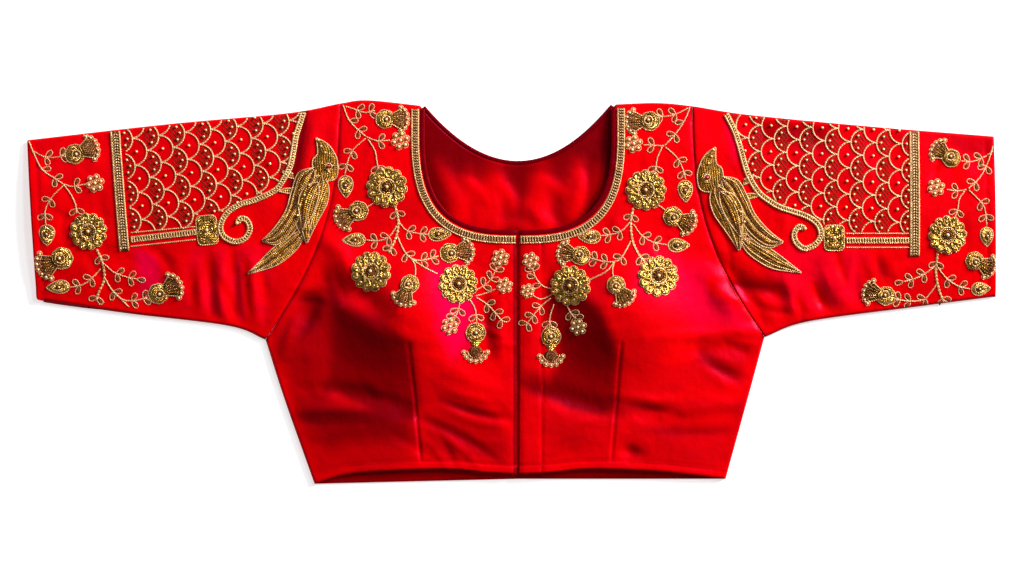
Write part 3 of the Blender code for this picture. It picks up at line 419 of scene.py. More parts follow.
# The field that each net fills, and the line of the scroll beneath it
FIELD = {
    "right": [
        (-371.3, 342.2), (-363.8, 235.5), (-302.7, 241.1), (-299.9, 253.8), (-283.9, 254.7), (-274.5, 256.6),
        (-261.3, 266), (-245.3, 270.7), (-227.5, 277.3), (-221.8, 287.6), (-216.7, 298.9), (-213.8, 312.5),
        (-211.5, 327.6), (-207.3, 341.7), (-202.1, 357.2),
    ],
    "left": [
        (198.3, 353.4), (205.9, 332.8), (210.6, 318.7), (218.1, 293.8), (227.5, 277.8), (237.8, 268.8),
        (248.2, 262.7), (269.8, 255.2), (282, 247.2), (285.8, 243.5), (307.4, 243.5), (308.3, 236.4),
        (367.1, 235.9), (367.1, 342.2),
    ],
}
SCROLL = {
    "right": [
        (-200.2, 353.4), (-204.4, 341.2), (-208.7, 327.1), (-211.2, 312.1), (-214.3, 298), (-220, 286.7),
        (-227.5, 276.4), (-244.6, 267.7), (-260.8, 262.7), (-273.1, 254.7), (-279.2, 242.9), (-276.4, 233.2),
        (-266.2, 227.9), (-256.5, 230.7), (-251.6, 239.7), (-254.4, 247.8), (-260.2, 249.5), (-263.7, 245.1),
    ],
    "left": [
        (195.5, 347.8), (203, 332.8), (207.7, 318.7), (215.3, 292.3), (225.1, 275), (235.9, 266),
        (246.9, 259.7), (268.8, 252.4), (280.1, 245.3), (284.3, 235), (279.2, 225.6), (268.8, 221.4),
        (260.8, 227.5), (259, 235.5), (263.2, 241.6), (269.3, 240.2),
    ],
}
# Each net: where its first scale lies, the steps along and down it, how many of each, and a scale's radius
NET = {
    "right": {"first": (-358.2, 312.3), "along": (24.53, 2.82), "down": (2.82, -25.47),
             "columns": (-1, 7), "rows": (-2, 4), "radius": 12.6},
    "left": {"first": (285.4, 310.3), "along": (24.06, -0.94), "down": (-0.75, -24.63),
             "columns": (-4, 4), "rows": (-2, 4), "radius": 12.3},
}
# Each rail's middle line, the thin lines above and below it, and its block: centre, half size and turn
RAILS = {
    "right": {
        "middle": [(-363.8, 229.7), (-301.7, 236.9)],
        "above": [(-363.8, 236.1), (-301.7, 242.0)],
        "below": [(-363.8, 223.2), (-301.7, 229.9)],
        "block": ((-291.9, 238.6), (9.7, 13.7), 6),
    },
    "left": {
        "middle": [(307.4, 228.9), (367.5, 228.9)],
        "above": [(307.4, 235.5), (367.5, 235.5)],
        "below": [(307.4, 222.4), (367.5, 222.4)],
        "block": ((296.7, 231.3), (9.3, 11.9), 0),
    },
}
# The bird, the same on both sleeves: millimetres down its length from the head and out across its back.
# Each part has its height, its seat, its two edges and the number of strands laid between them
BIRD = [
    (0.0015, 0.0, [(65, 5), (80, 6), (94, 14), (106, 26), (118, 48)],
     [(65, 5), (76, 19), (89, 30), (103, 39), (118, 48)], 3),  # tail
    (0.0018, 0.0003, [(6, 8), (15, 22), (32, 25), (51, 26), (70, 33), (85, 42)],
     [(6, 8), (25, 4), (52, 8), (73, 16), (85, 27), (85, 42)], 5),  # back
    (0.0021, 0.0006, [(11, 1), (21, -8), (37, -10), (57, -5), (78, 0)],
     [(11, 1), (23, 15), (41, 20), (61, 15), (78, 0)], 3),  # wing
    (0.0012, 0.0022, [(19, 2), (31, -1), (47, 0), (67, 6)],
     [(19, 2), (26, 13), (43, 16), (67, 6)], 2),  # lens
    (0.0019, 0.0004, [(19, -1), (12, -13), (-1, -12), (-12, -5), (-18, 3), (-21, 14)],
     [(19, -1), (10, 9), (0, 12), (-6, 9), (-14, 11), (-21, 14)], 0),  # head
    (0.0009, 0.0, [(21, 25), (21, 31), (17, 38)],
     [(17, 27), (16, 33), (17, 38)], 0),  # leg
    (0.0009, 0.0, [(35, 23), (36, 30), (36, 37)],
     [(30, 24), (32, 31), (36, 37)], 0),  # leg
]
BIRD_EYE = (3, -4)
PERCHES = {"right": ((181, 302), 12.7), "left": ((180, 292), 20.6)}  # head and lean


def unit(vectors):
    """Vectors brought to length 1."""
    return vectors / np.maximum(np.linalg.norm(vectors, axis=-1, keepdims=True), 1e-12)


def to_right(run):
    """Plan directions turned a quarter to the right."""
    return np.stack([run[..., 1], -run[..., 0]], axis=-1)


def ring(radius, angle):
    """Plan points at these angles on a circle, or two lengths for an oval, round the origin."""
    return np.stack([np.cos(angle), np.sin(angle)], axis=-1) * radius


def steps_through(points, closed=False):
    """The step through each point of a line, from the one before it to the one after."""
    return np.roll(points, -1, 0) - np.roll(points, 1, 0) if closed else np.gradient(points, axis=0)


def run_length(points):
    """How far along a line each of its points is."""
    return np.concatenate([[0.0], np.cumsum(np.linalg.norm(np.diff(points, axis=0), axis=1))])


class Path:
    """A plan curve, measured by the share of its length, where each radian it bends counts as more."""

    def __init__(self, points, bend=0.0):
        self.points = np.asarray(points, float)
        steps = np.diff(self.points, axis=0)
        heading = np.unwrap(np.arctan2(steps[:, 1], steps[:, 0]))
        turning = np.abs(np.gradient(heading)) if len(heading) > 1 else np.zeros(1)
        self.lengths = np.concatenate([[0.0], np.cumsum(np.linalg.norm(steps, axis=1) + bend * turning)])

    def at(self, share):
        along = np.asarray(share) * self.lengths[-1]
        columns = [np.interp(along, self.lengths, self.points[:, axis]) for axis in (0, 1)]
        return np.stack(columns, axis=-1)

    def reversed(self):
        return Path(self.points[::-1])

    def moved_out(self, distance):
        """The same curve, moved to the right of its direction."""
        return Path(self.points + distance * to_right(unit(steps_through(self.points))))


def smooth(points, steps=12):
    """Points of a curve through the given ones, each stretch a Catmull-Rom cubic."""
    given = np.array(points, float)
    first = 2 * given[0] - given[1]
    last = 2 * given[-1] - given[-2]
    padded = np.vstack([first, given, last])
    t = np.linspace(0, 1, steps, endpoint=False)[:, None]
    stretches = []
    for a, b, c, d in zip(padded, padded[1:], padded[2:], padded[3:]):
        cubic = 2 * b + (c - a) * t + (2 * a - 5 * b + 4 * c - d) * t**2
        stretches.append(0.5 * (cubic + (3 * b - a - 3 * c + d) * t**3))
    return np.vstack(stretches + [given[-1:]])


def bezier(start, start_handle, end_handle, end, steps=24):
    """Points of a cubic whose handles are given relative to its ends."""
    t = np.linspace(0, 1, steps + 1)[:, None]
    first, last = np.array(start, float), np.array(end, float)
    near, far = first + start_handle, last + end_handle
    return (1 - t) ** 3 * first + 3 * (1 - t) ** 2 * t * near + 3 * (1 - t) * t**2 * far + t**3 * last


def corner(name, side):
    """A named point of the outline."""
    return OUTLINE[name][side]


def top_edge(side):
    """Shoulder and sleeve top, from the neck to the cuff."""
    names = ("neck_point", "shoulder_crest", "shoulder_tip", "sleeve_bend", "sleeve_crest", "cuff_top")
    return smooth([corner(name, side) for name in names])


def side_seam(side):
    """From the hem corner up to the underarm."""
    return Path(smooth([corner(name, side) for name in ("hem_corner", "side_middle", "underarm")]))


def sleeve_underside(side):
    """From the underarm to the cuff's rounded lower corner."""
    names = ("underarm", "sleeve_near", "sleeve_low", "cuff_bottom")
    return Path(smooth([corner(name, side) for name in names]))


def armhole(side):
    """From the underarm up to the shoulder tip."""
    tip = corner("shoulder_tip", side)
    underarm = corner("underarm", side)
    return Path(bezier(underarm, ARMHOLE_UNDERARM_HANDLE, ARMHOLE_TIP_HANDLE, tip))


def shoulder(side, neck_half):
    """From the neck edge of a panel out to the shoulder tip."""
    edge = top_edge(side)
    tip_x = corner("shoulder_tip", side)[0]
    inside = edge[(edge[:, 0] > neck_half + 0.001) & (edge[:, 0] < tip_x - 0.001)]
    start = (neck_half, np.interp(neck_half, edge[:, 0], edge[:, 1]))
    return Path([start, *inside, corner("shoulder_tip", side)])


def sleeve_top(side):
    """From the shoulder tip along the fold to the cuff."""
    edge = top_edge(side)
    return Path(edge[edge[:, 0] >= corner("shoulder_tip", side)[0] - 1e-6])


def front_neckline(side, out, steps=60):
    """Half of the front neckline, moved out: a superellipse that runs straight up to the shoulder."""
    power = 2 / FRONT_NECK_SQUARENESS
    turn = np.linspace(-math.pi / 2, 0, steps)
    x = (NECK_HALF + out) * np.abs(np.cos(turn)) ** power
    y = FRONT_NECK_CENTRE - (FRONT_NECK_DROP + out) * np.abs(np.sin(turn)) ** power
    x[0] = CENTRE_EDGE[side]
    top = shoulder(side, NECK_HALF + out).points[0]
    return Path(np.vstack([np.stack([x, y], axis=1), [top]]), NECK_BEND)


def back_neckline(side, out, steps=40):
    """Half of the back neckline, moved out: a parabola up to the shoulder's end."""
    half = NECK_HALF + BACK_NECK_SPREAD * out
    top = shoulder(side, half).points[0][1]
    x = np.linspace(0, half, steps)
    bottom = BACK_NECK_BOTTOM - out
    return Path(np.stack([x, bottom + (top - bottom) * (x / half) ** 2], axis=1))


def from_paths(plan, paths, chunk=20000):
    """Plan distance from each point to the nearest of some paths, and how far along it that is."""
    flat = plan.reshape(-1, 2)
    near = np.full(len(flat), np.inf)
    along = np.zeros(len(flat))
    for path in paths:
        start = path.points[:-1]
        step = np.diff(path.points, axis=0)
        span = np.linalg.norm(step, axis=1)
        before = np.concatenate([[0.0], np.cumsum(span)[:-1]])
        for first in range(0, len(flat), chunk):
            part = slice(first, first + chunk)
            offset = flat[part, None] - start
            share = np.clip((offset * step).sum(-1) / span**2, 0, 1)
            away = np.linalg.norm(offset - share[..., None] * step, axis=-1)
            closest = away.argmin(1)
            rows = np.arange(len(away))
            least = away[rows, closest]
            better = least < near[part]
            near[part] = np.where(better, least, near[part])
            reached = before[closest] + share[rows, closest] * span[closest]
            along[part] = np.where(better, reached, along[part])
    return near.reshape(plan.shape[:-1]), along.reshape(plan.shape[:-1])


def from_folds(plan, side):
    """Plan distance to the nearest folded edge: shoulder, sleeve top, sleeve underside, side seam."""
    return from_paths(plan, [Path(top_edge(side)), sleeve_underside(side), side_seam(side)])[0]


def turned(distance):
    """0 at a folded edge to 1 where the cloth has turned flat, along a quarter ellipse."""
    inside = 1 - np.clip(distance / FOLD_REACH, 0, 1)
    return np.sqrt(1 - inside**2)


def ease(value):
    """0 to 1, levelling off at both ends: a cubic."""
    value = np.clip(value, 0, 1)
    return value * value * (3 - 2 * value)


def folds(plan, rows):
    """Height that a table of creases adds: each a rounded ridge along a bowed line, tapered at its ends."""
    total = np.zeros(plan.shape[:-1])
    for x1, y1, x2, y2, bow, width, height in np.asarray(rows) * MM:
        line = np.array([x2 - x1, y2 - y1])
        length = np.linalg.norm(line)
        run = line / length
        left = -to_right(run)
        offset = plan - (x1, y1)
        room = 3 * width + abs(bow)
        close = (np.abs(offset @ run - length / 2) < length / 2 + room) & (np.abs(offset @ left) < room)
        offset = offset[close]
        share = offset @ run / length
        inside = np.clip(share, 0, 1)
        across = offset @ left - bow * 4 * inside * (1 - inside)
        beyond = (share - inside) * length
        taper = np.sin(math.pi * (CREASE_END + (1 - 2 * CREASE_END) * inside))
        total[close] += height * taper * np.exp(-(across**2 + beyond**2) / width**2)
    return total


def cup(plan, side):
    """Height of the bust cup: a raised cosine over an oval with a longer upper half."""
    size = CUPS[side]
    dx = (plan[..., 0] - size["x"]) / size["across"]
    dy = plan[..., 1] - size["y"]
    dy = np.where(dy > 0, dy / size["above"], dy / size["below"])
    return CUP_RISE * (1 + np.cos(math.pi * np.clip(np.hypot(dx, dy), 0, 1))) / 2


def patch(bottom, top, left, right, u, v):
    """Plan points blended from four edges: the sum of both ruled surfaces less the bilinear one."""
    u, v = np.meshgrid(u, v)
    u_, v_ = u[..., None], v[..., None]
    ruled = (1 - v_) * bottom(u) + v_ * top(u) + (1 - u_) * left(v) + u_ * right(v)
    zero, one = np.array(0.0), np.array(1.0)
    low = (1 - u_) * bottom(zero) + u_ * bottom(one)
    high = (1 - u_) * top(zero) + u_ * top(one)
    return ruled - (1 - v_) * low - v_ * high


def joined(first, second, share):
    """One edge made of two paths, the first taking this share of it."""

    def edge(value):
        value = np.asarray(value, float)
        near = first.at(np.clip(value / share, 0, 1))
        far = second.at(np.clip((value - share) / (1 - share), 0, 1))
        return np.where((value <= share)[..., None], near, far)

    return edge


def shares(near, far, corner_share):
    """Shares along a patch, evenly spaced to its corner and on from there."""
    return np.concatenate([np.linspace(0, corner_share, near + 1), np.linspace(corner_share, 1, far + 1)[1:]])


def turned_over(even, width):
    """The shares with more where the far edge turns over."""
    turn = FOLD_REACH * (1 - np.cos(np.radians(TURN_ANGLES)))
    tight = 1 - turn / width
    return np.sort(np.concatenate([even[even < tight.min() - LEAST_SHARE], tight]))


def set_down(plan, height):
    """Signed plan points and heights as points in the part's frame."""
    x, y = plan[..., 0] - MIDDLE[0], plan[..., 1] - MIDDLE[1]
    return np.stack([x, y, np.broadcast_to(height, x.shape)], axis=-1)


def cuff(side):
    """From the rounded lower corner up to the top corner."""
    low = corner("cuff_bottom", side)
    turn = corner("cuff_turn", side)
    top = corner("cuff_top", side)
    rounding = bezier(low, (turn[0] - low[0], 0.0), (0.0, low[1] - turn[1]), turn, 6)
    return Path(np.vstack([rounding, [top]]))


def half_outline(side):
    """Signed plan points round one side of the blouse, from the centre of the hem up to the neck."""
    edges = [side_seam(side).points, sleeve_underside(side).points, cuff(side).points, top_edge(side)[::-1]]
    return np.vstack([[(0, BACK_HEM_MIDDLE)], *edges, [(0, BACK_NECK_BOTTOM)]]) * (SIDES[side], 1)


OUTLINES = {side: half_outline(side) for side in SIDES}
EXTENT = np.vstack(list(OUTLINES.values()))
MIDDLE = (EXTENT.min(0) + EXTENT.max(0)) / 2


def hem_arc(side, up=0.0):
    """The fronts' hem, moved up."""
    arc = [(CENTRE_EDGE[side], FRONT_HEM_ARC[0][1]), *FRONT_HEM_ARC[1:], corner("hem_corner", side)]
    return Path(smooth([(x, y + up) for x, y in arc]))


def patch_mask(plan, polygon, soft):
    """1 well inside a polygon to 0 well outside, eased over twice the softness."""
    corners = np.array(polygon) * MM
    away = from_paths(plan, [Path(np.vstack([corners, corners[:1]]))])[0]
    signed = np.where(within(plan, corners), away, -away)
    return ease(0.5 + signed / (2 * soft * MM))


def painted_shade_and_highlight(plan, side):
    """Painted shade (above 0) and painted highlight (below 0) on the satin: each patch drawn over the ones before
    it by its own strength, then painted shade beside the seams and folded edges.
    """
    total = np.zeros(plan.shape[:-1])
    for strength, soft, polygon in PAINTED_LIGHT_PATCHES[side]:
        mask = patch_mask(plan, polygon, soft) * abs(strength)
        total = total * (1 - mask) + math.copysign(1, strength) * mask
    # Painted shade beside the armhole seam, the sleeve's folded underside and the side seam
    for name, edge in (("armhole", armhole), ("underside", sleeve_underside), ("side", side_seam)):
        strength, reach = SEAM_PAINTED_SHADE[name]
        total += strength * np.exp(-((from_paths(plan, [edge(side)])[0] / reach) ** 2))
    return np.clip(total, -1, 1)


def facets(plan, side):
    """The dark facets: inside each, the cloth sinks evenly from its upper inner edge to its lower outer one."""
    way = np.array(FACET_FALL) * (SIDES[side], 1)
    polygon = PAINTED_LIGHT_PATCHES[side][FACETS[side]][-1]
    corners = np.array(polygon) * MM @ way
    ramp = np.clip((corners.max() - plan @ way) / np.ptp(corners), 0, 1)
    return -FACET_DEPTH * ramp * patch_mask(plan, polygon, FACET_SOFT)


def stitched(side, piece):
    """Lines of stitching on a panel: hem and cuff, darts, and the placket on the wearer's left."""
    if piece == "sleeve":
        return [cuff(side).moved_out(-HEM_TURN)]
    lines = [hem_arc(side, HEM_TURN), Path(DARTS[side])]
    if side == "left":
        lines.append(Path(PLACKET))
    return lines


def scattered(side, number, seed):
    """Small creases of chance length and heading, most of them lying as the ones around them do."""
    chance = np.random.default_rng(seed)
    x = chance.uniform(*SCATTER_X, number)
    y = chance.uniform(*SCATTER_Y, number)
    # They radiate from the underarm, and stand upright on the sleeve
    pit = corner("underarm", side)
    spoke = np.arctan2(y - pit[1], x - pit[0])
    heading = np.where(x < UPRIGHT_FROM, spoke, math.pi / 2) + chance.normal(0, SCATTER_LEAN, number)
    length = chance.uniform(*SCATTER_LENGTH, number)
    width = chance.uniform(*SCATTER_WIDTH, number)
    height = chance.normal(0, SCATTER_HEIGHT, number)
    bow = chance.normal(0, SCATTER_BOW, number)
    dx, dy = ring(length[:, None] / 2, heading).T
    return np.stack([x - dx, y - dy, x + dx, y + dy, bow, width, height], axis=1) / MM


def seams(plan, side, piece):
    """Troughs at the seams and stitching, and the fuller hems: each a bell curve of the distance from its line."""
    armhole_away = from_paths(plan, [armhole(side)])[0]
    total = -SEAM_DIP * np.exp(-((armhole_away / SEAM_SOFTNESS) ** 2))
    line_away = from_paths(plan, stitched(side, piece))[0]
    total -= STITCH_DIP * np.exp(-((line_away / STITCH_SOFTNESS) ** 2))
    if piece == "sleeve":
        edge_away = from_paths(plan, [cuff(side)])[0]
    else:
        edge_away = from_paths(plan, [hem_arc(side)])[0]
        opening = np.clip(plan[..., 0] - CENTRE_EDGE[side], 0, None)
        total -= OPENING_ROLL * np.exp(-((opening / OPENING_SOFTNESS) ** 2))
        dart_away = from_paths(plan, [Path(DARTS[side])])[0]
        total -= DART_DIP * np.exp(-((dart_away / DART_SOFTNESS) ** 2))
    return total + HEM_THICKNESS * (1 - ease((edge_away - HEM_TURN * 0.8) / (HEM_TURN * 0.4)))


def swell(distance):
    """How the upper layer lifts away from its turned edges, levelling off well inside them."""
    inside = np.clip(distance - FOLD_REACH, 0, None)
    return LOFT * (1 - np.exp(-((inside / LOFT_REACH) ** LOFT_SHAPE)))


def rise(plan, side, piece, distance):
    """How much higher than its turned edges the upper layer lies, with all its folds and seams."""
    rows = np.vstack([CREASES[side], FINE_CREASES[side], scattered(side, *SCATTERED[side])])
    formed = cup(plan, side) + facets(plan, side) + folds(plan, rows) + seams(plan, side, piece)
    return swell(distance) + formed * ease(distance / CREASE_FADE)


def upper(piece, distance, risen):
    """Outer height of the upper layer: its turned edge, a quarter ellipse, and what it rises above that."""
    seat = FRONT_SEAT if piece == "front" else FOLD_HEIGHT / 2
    return seat + (FOLD_HEIGHT - seat) * turned(distance) + risen


def lies(plan, side, piece):
    """Outer height of the upper layer at plan points, worked out there."""
    distance = from_folds(plan, side)
    return upper(piece, distance, rise(plan, side, piece, distance))


class Relief:
    """The upper layer of one panel, worked out on a plan grid and read between its points by blending."""

    STEP = 0.001
    REACH = {"front": (-0.004, 0.246), "sleeve": (0.150, 0.474)}
    ROWS = 374

    def __init__(self, side, piece):
        first, last = self.REACH[piece]
        self.low = np.array([first, -0.004])
        self.columns = round((last - first) / self.STEP)
        x = self.low[0] + self.STEP * np.arange(self.columns)
        y = self.low[1] + self.STEP * np.arange(self.ROWS)
        plan = np.stack(np.meshgrid(x, y), axis=-1)
        self.piece = piece
        self.distance = from_folds(plan, side)
        self.risen = rise(plan, side, piece, self.distance)

    def read(self, plan):
        """Distance from the folds, and height, at plan points given in the wearer's own side."""
        place = (plan - self.low) / self.STEP
        column = np.clip(place[..., 0], 0, self.columns - 1.001)
        row = np.clip(place[..., 1], 0, self.ROWS - 1.001)
        c, r = column.astype(int), row.astype(int)
        u, v = column - c, row - r
        blended = []
        for grid in (self.distance, self.risen):
            low = grid[r, c] * (1 - u) + grid[r, c + 1] * u
            high = grid[r + 1, c] * (1 - u) + grid[r + 1, c + 1] * u
            blended.append(low * (1 - v) + high * v)
        return blended[0], upper(self.piece, *blended)


RELIEFS = {}


def relief(side, piece):
    """The relief of one panel, made the first time it is asked for."""
    if (side, piece) not in RELIEFS:
        RELIEFS[side, piece] = Relief(side, piece)
    return RELIEFS[side, piece]


def side_of(plan):
    """The side that signed plan points lie on."""
    return "right" if plan[..., 0].mean() < 0 else "left"


def own(plan, side):
    """Signed plan points as distances out from the centre front."""
    return plan * (SIDES[side], 1)


def seat(plan, piece, reach=0.0012):
    """Where signed plan points lie on a panel, and the cloth's normal there, from its slope over a small reach."""
    side = side_of(plan)
    ground = relief(side, piece)
    height = ground.read(own(plan, side))[1]
    slope = [(ground.read(own(plan + step, side))[1] - ground.read(own(plan - step, side))[1]) / (2 * reach)
             for step in ((reach, 0.0), (0.0, reach))]
    return set_down(plan, height), unit(np.stack([-slope[0], -slope[1], np.ones_like(height)], axis=-1))


def away_from_folds(plan, piece):
    """How far signed plan points lie from a folded edge."""
    side = side_of(plan)
    return relief(side, piece).read(own(plan, side))[0]


class Work:
    """Points, faces and texture coordinates gathered for one piece, each part with its own finish."""

    def __init__(self):
        self.points, self.uvs, self.faces, self.corners, self.finishes = [], [], [], [], []
        self.slots = []
        self.count = 0

    def add(self, points, faces, uvs, finish):
        """faces is a list of arrays, each (number of faces, corners of each)."""
        if finish not in self.slots:
            self.slots.append(finish)
        for group in faces:
            self.faces.append(group.ravel() + self.count)
            self.corners.append(np.full(len(group), group.shape[1]))
            self.finishes.append(np.full(len(group), self.slots.index(finish)))
        self.points.append(points.reshape(-1, 3))
        self.uvs.append(uvs.reshape(-1, 2))
        self.count += points.size // 3

    def finish(self, name, slot="zari"):
        """The object, smooth, with its UV map, riding on the blouse."""
        points, uvs = np.vstack(self.points), np.vstack(self.uvs)
        loops, corners = np.concatenate(self.faces), np.concatenate(self.corners)
        mesh = bpy.data.meshes.new(name)
        mesh.vertices.add(len(points))
        mesh.vertices.foreach_set("co", points.astype(np.float32).ravel())
        mesh.loops.add(len(loops))
        mesh.loops.foreach_set("vertex_index", loops.astype(np.int32))
        mesh.polygons.add(len(corners))
        starts = np.concatenate([[0], np.cumsum(corners)[:-1]])
        mesh.polygons.foreach_set("loop_start", starts.astype(np.int32))
        mesh.polygons.foreach_set("loop_total", corners.astype(np.int32))
        for finish in self.slots:
            mesh.materials.append(material(finish))
        mesh.polygons.foreach_set("material_index", np.concatenate(self.finishes).astype(np.int32))
        layer = mesh.uv_layers.new(name="Sewn")
        layer.data.foreach_set("uv", uvs[loops].astype(np.float32).ravel())
        mesh.update(calc_edges=True)
        mesh.validate()
        mesh.shade_smooth()
        made = bpy.data.objects.new(name, mesh)
        bpy.context.scene.collection.objects.link(made)
        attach(made, "root")
        return made


def grid_faces(rows, columns, wrap_rows=False, wrap_columns=False):
    """Quads of a grid of points, first along its columns, then its rows, so they face row x column upwards."""
    r = np.arange(rows if wrap_rows else rows - 1)
    c = np.arange(columns if wrap_columns else columns - 1)
    r, c = np.meshgrid(r, c, indexing="ij")
    on = (c + 1) % columns
    row, up = r * columns, (r + 1) % rows * columns
    return np.stack([row + c, row + on, up + on, up + c], axis=-1).reshape(-1, 4)


def form_faces(stations, around, closed=False):
    """Faces of a form made of rings: the bands between them, and a fan at each end, to the last two points."""
    body = grid_faces(stations, around, wrap_rows=closed, wrap_columns=True)[:, [0, 3, 2, 1]]
    if closed:
        return [body]
    first = np.arange(around)
    on = (first + 1) % around
    last, pole = (stations - 1) * around, np.full(around, stations * around)
    return [body, np.stack([pole, first, on], axis=1), np.stack([pole + 1, last + on, last + first], axis=1)]


def tube(work, rings, uvs, finish, closed=False):
    """Rings of points (stations, around, 3) skinned to a closed form, each open end closed by a fan."""
    faces = form_faces(*rings.shape[:2], closed)
    if not closed:
        uvs = np.vstack([uvs.reshape(-1, 2), uvs[0].mean(0), uvs[-1].mean(0)])
        rings = np.vstack([rings.reshape(-1, 3), rings[0].mean(0), rings[-1].mean(0)])
    work.add(rings, faces, uvs, finish)


def evenly(plan, step, closed=False):
    """A plan line divided evenly, near enough to a step's length."""
    line = Path(np.vstack([plan, plan[:1]]) if closed else plan)
    count = max(int(round(line.lengths[-1] / step)), 4)
    share = np.linspace(0, 1, count, endpoint=False) if closed else np.linspace(0, 1, count + 1)
    return line.at(share)


def thread(work, plan, piece, width, finish="cord", pitch=0.0022, height=None, closed=False, sway=0.0,
           phase=0.0, step=None, lift=0.0, taper=True):
    """A couched cord: a rounded section carried along a plan line on the cloth.

    Its half width swells and sinks with the cosine of twice the way along over the pitch, and the
    whole cord swings to each side by the sway, as two strands that cross would.
    """
    plan = evenly(np.asarray(plan), step or pitch / 2.6, closed)
    laid = sits(plan, piece)
    if not laid.all():
        for part in runs(plan, laid, 4):
            thread(work, part, piece, width, finish, pitch, height, False, sway, phase, step, lift, taper)
        return
    along = run_length(plan)
    turn = 2 * math.pi * along / pitch + phase
    plan = plan + to_right(unit(steps_through(plan, closed))) * (sway * np.sin(turn / 2))[:, None]
    base, up = seat(plan, piece)
    across = unit(np.cross(steps_through(base, closed), up))
    half = width / 2 * (1 - STITCH_SWELL * np.cos(turn))
    if not closed and taper:
        ends = np.minimum(along, along[-1] - along) / width
        half = half * np.sqrt(np.clip(THREAD_END + ends, 0, 1))
    thick = half * 2 * (height / width if height else THREAD_HEIGHT)
    angle = np.radians(THREAD_SECTION)
    rings = base[:, None] + across[:, None] * (half[:, None] * np.cos(angle))[..., None]
    level = THREAD_FOOT + (1 - THREAD_FOOT) * np.sin(angle)
    rings += up[:, None] * (lift + thick[:, None] * level)[..., None]
    uvs = np.stack(np.broadcast_arrays(along[:, None], (angle / math.pi)[None]), axis=-1)
    tube(work, rings, uvs, finish, closed)


def mound(work, centre, outline, piece, shares, heights, finish, size=1.0):
    """A padded motif: rings from its centre out to its outline, each at its own height, closed beneath.

    heights, in mm, is one number for each ring, or one for each point of each ring. The outline runs
    anticlockwise, and size draws it in towards the centre.
    """
    centre = np.asarray(centre, float)
    outline = centre + (outline - centre) * size
    around, count = len(outline), len(shares)
    shares = np.asarray(shares, float)[:, None, None]
    plan = centre + shares * (outline - centre)
    heights = np.asarray(heights, float) * MM
    heights = np.broadcast_to(heights[:, None] if heights.ndim == 1 else heights, plan.shape[:2])
    base, up = seat(plan, piece)
    middle, middle_up = seat(centre[None], piece)
    top = middle + middle_up * heights[0].mean()
    rings = (base + up * heights[..., None]).reshape(-1, 3)
    points = np.vstack([rings, base[-1] - up[-1] * SUNK, top, middle - middle_up * SUNK])
    radius = np.linalg.norm(outline - centre, axis=1)
    angle = np.arange(around) / around * radius.mean() * 2 * math.pi
    uvs = np.stack(np.broadcast_arrays(angle[None], shares[..., 0] * radius), axis=-1).reshape(-1, 2)
    uvs = np.concatenate([uvs, np.stack([angle, radius], 1), np.zeros((2, 2))])
    work.add(points, form_faces(count + 1, around), uvs, finish)


def disc(work, centre, piece, radius, points, shares, heights, finish):
    """A round mound."""
    mound(work, centre, centre + round_outline(radius, points), piece, shares, heights, finish)


def hoop(work, centre, piece, radius, points, width, finish, lift, pitch=0.0022):
    """A ring of thread."""
    thread(work, centre + round_outline(radius, points), piece, width, finish, pitch, closed=True, lift=lift)


def arch(across):
    """A pad's height across it, from its rim's share at -1 and 1 up to 1 between them: a parabola."""
    return 1 - (1 - RIM_SHARE) * across**2


def arched(plan, piece, heights):
    """Rings across a pad: its top at these heights over the cloth, and its foot sunk in it."""
    base, up = seat(plan, piece)
    foot = base[:, [-1, 0]] - up[:, [-1, 0]] * SUNK
    return np.concatenate([base + up * heights[..., None], foot], axis=1)


def ribbon(work, middle, half, piece, crown, finish, lines, step):
    """A band along a plan line, reaching half its width to either side, its top an arch of the crown's height."""
    line = Path(middle)
    count = max(round(line.lengths[-1] / step), 6)
    even = np.linspace(0, 1, count + 1)
    plan = line.at(even)
    across = np.linspace(1, -1, lines)
    reach = np.broadcast_to(half * across, (count + 1, lines))
    places = plan[:, None] + to_right(unit(steps_through(plan)))[:, None] * reach[..., None]
    rings = arched(places, piece, np.broadcast_to(crown * arch(across), reach.shape))
    along = np.broadcast_to(even[:, None] * line.lengths[-1], rings.shape[:2])
    wide = np.concatenate([reach, reach[:, [-1, 0]]], axis=1)
    tube(work, rings, np.stack([along, wide], axis=-1), finish)


def sits(plan, piece, least=0.0011):
    """Which signed plan points lie on a panel, clear of its folds."""
    return within(plan, OUTLINES[side_of(plan)]) & (away_from_folds(plan, piece) > least)


def ball(segments, bands):
    """Points and faces of a unit ball, poles up and down."""
    tilt = np.linspace(0, math.pi, bands + 1)[1:-1, None]
    turn = np.linspace(0, 2 * math.pi, segments, endpoint=False)
    x, y = np.sin(tilt) * np.cos(turn), np.sin(tilt) * np.sin(turn)
    rings = np.stack(np.broadcast_arrays(x, y, np.cos(tilt)), axis=-1)
    body, *caps = form_faces(bands - 1, segments)
    return np.vstack([rings.reshape(-1, 3), [(0, 0, 1), (0, 0, -1)]]), body, np.vstack(caps)


def beads(work, plan, piece, radius, finish="bead", segments=7, bands=4, lift=0.0):
    """Round beads sewn on at plan points, each sunk a little into the cloth."""
    plan = np.asarray(plan, float).reshape(-1, 2)
    radius = np.broadcast_to(radius, len(plan))
    kept = sits(plan, piece, 0.0018)
    plan, radius = plan[kept], radius[kept]
    if not len(plan):
        return
    base, up = seat(plan, piece)
    points, body, caps = ball(segments, bands)
    centres = base + up * (radius * 0.7 + lift)[:, None]
    placed = centres[:, None] + points * radius[:, None, None]
    shift = np.arange(len(plan))[:, None, None] * len(points)
    faces = [(body[None] + shift).reshape(-1, 4), (caps[None] + shift).reshape(-1, 3)]
    uvs = np.broadcast_to(points[:, :2], placed.shape[:2] + (2,))
    work.add(placed, faces, uvs * 0.001, finish)


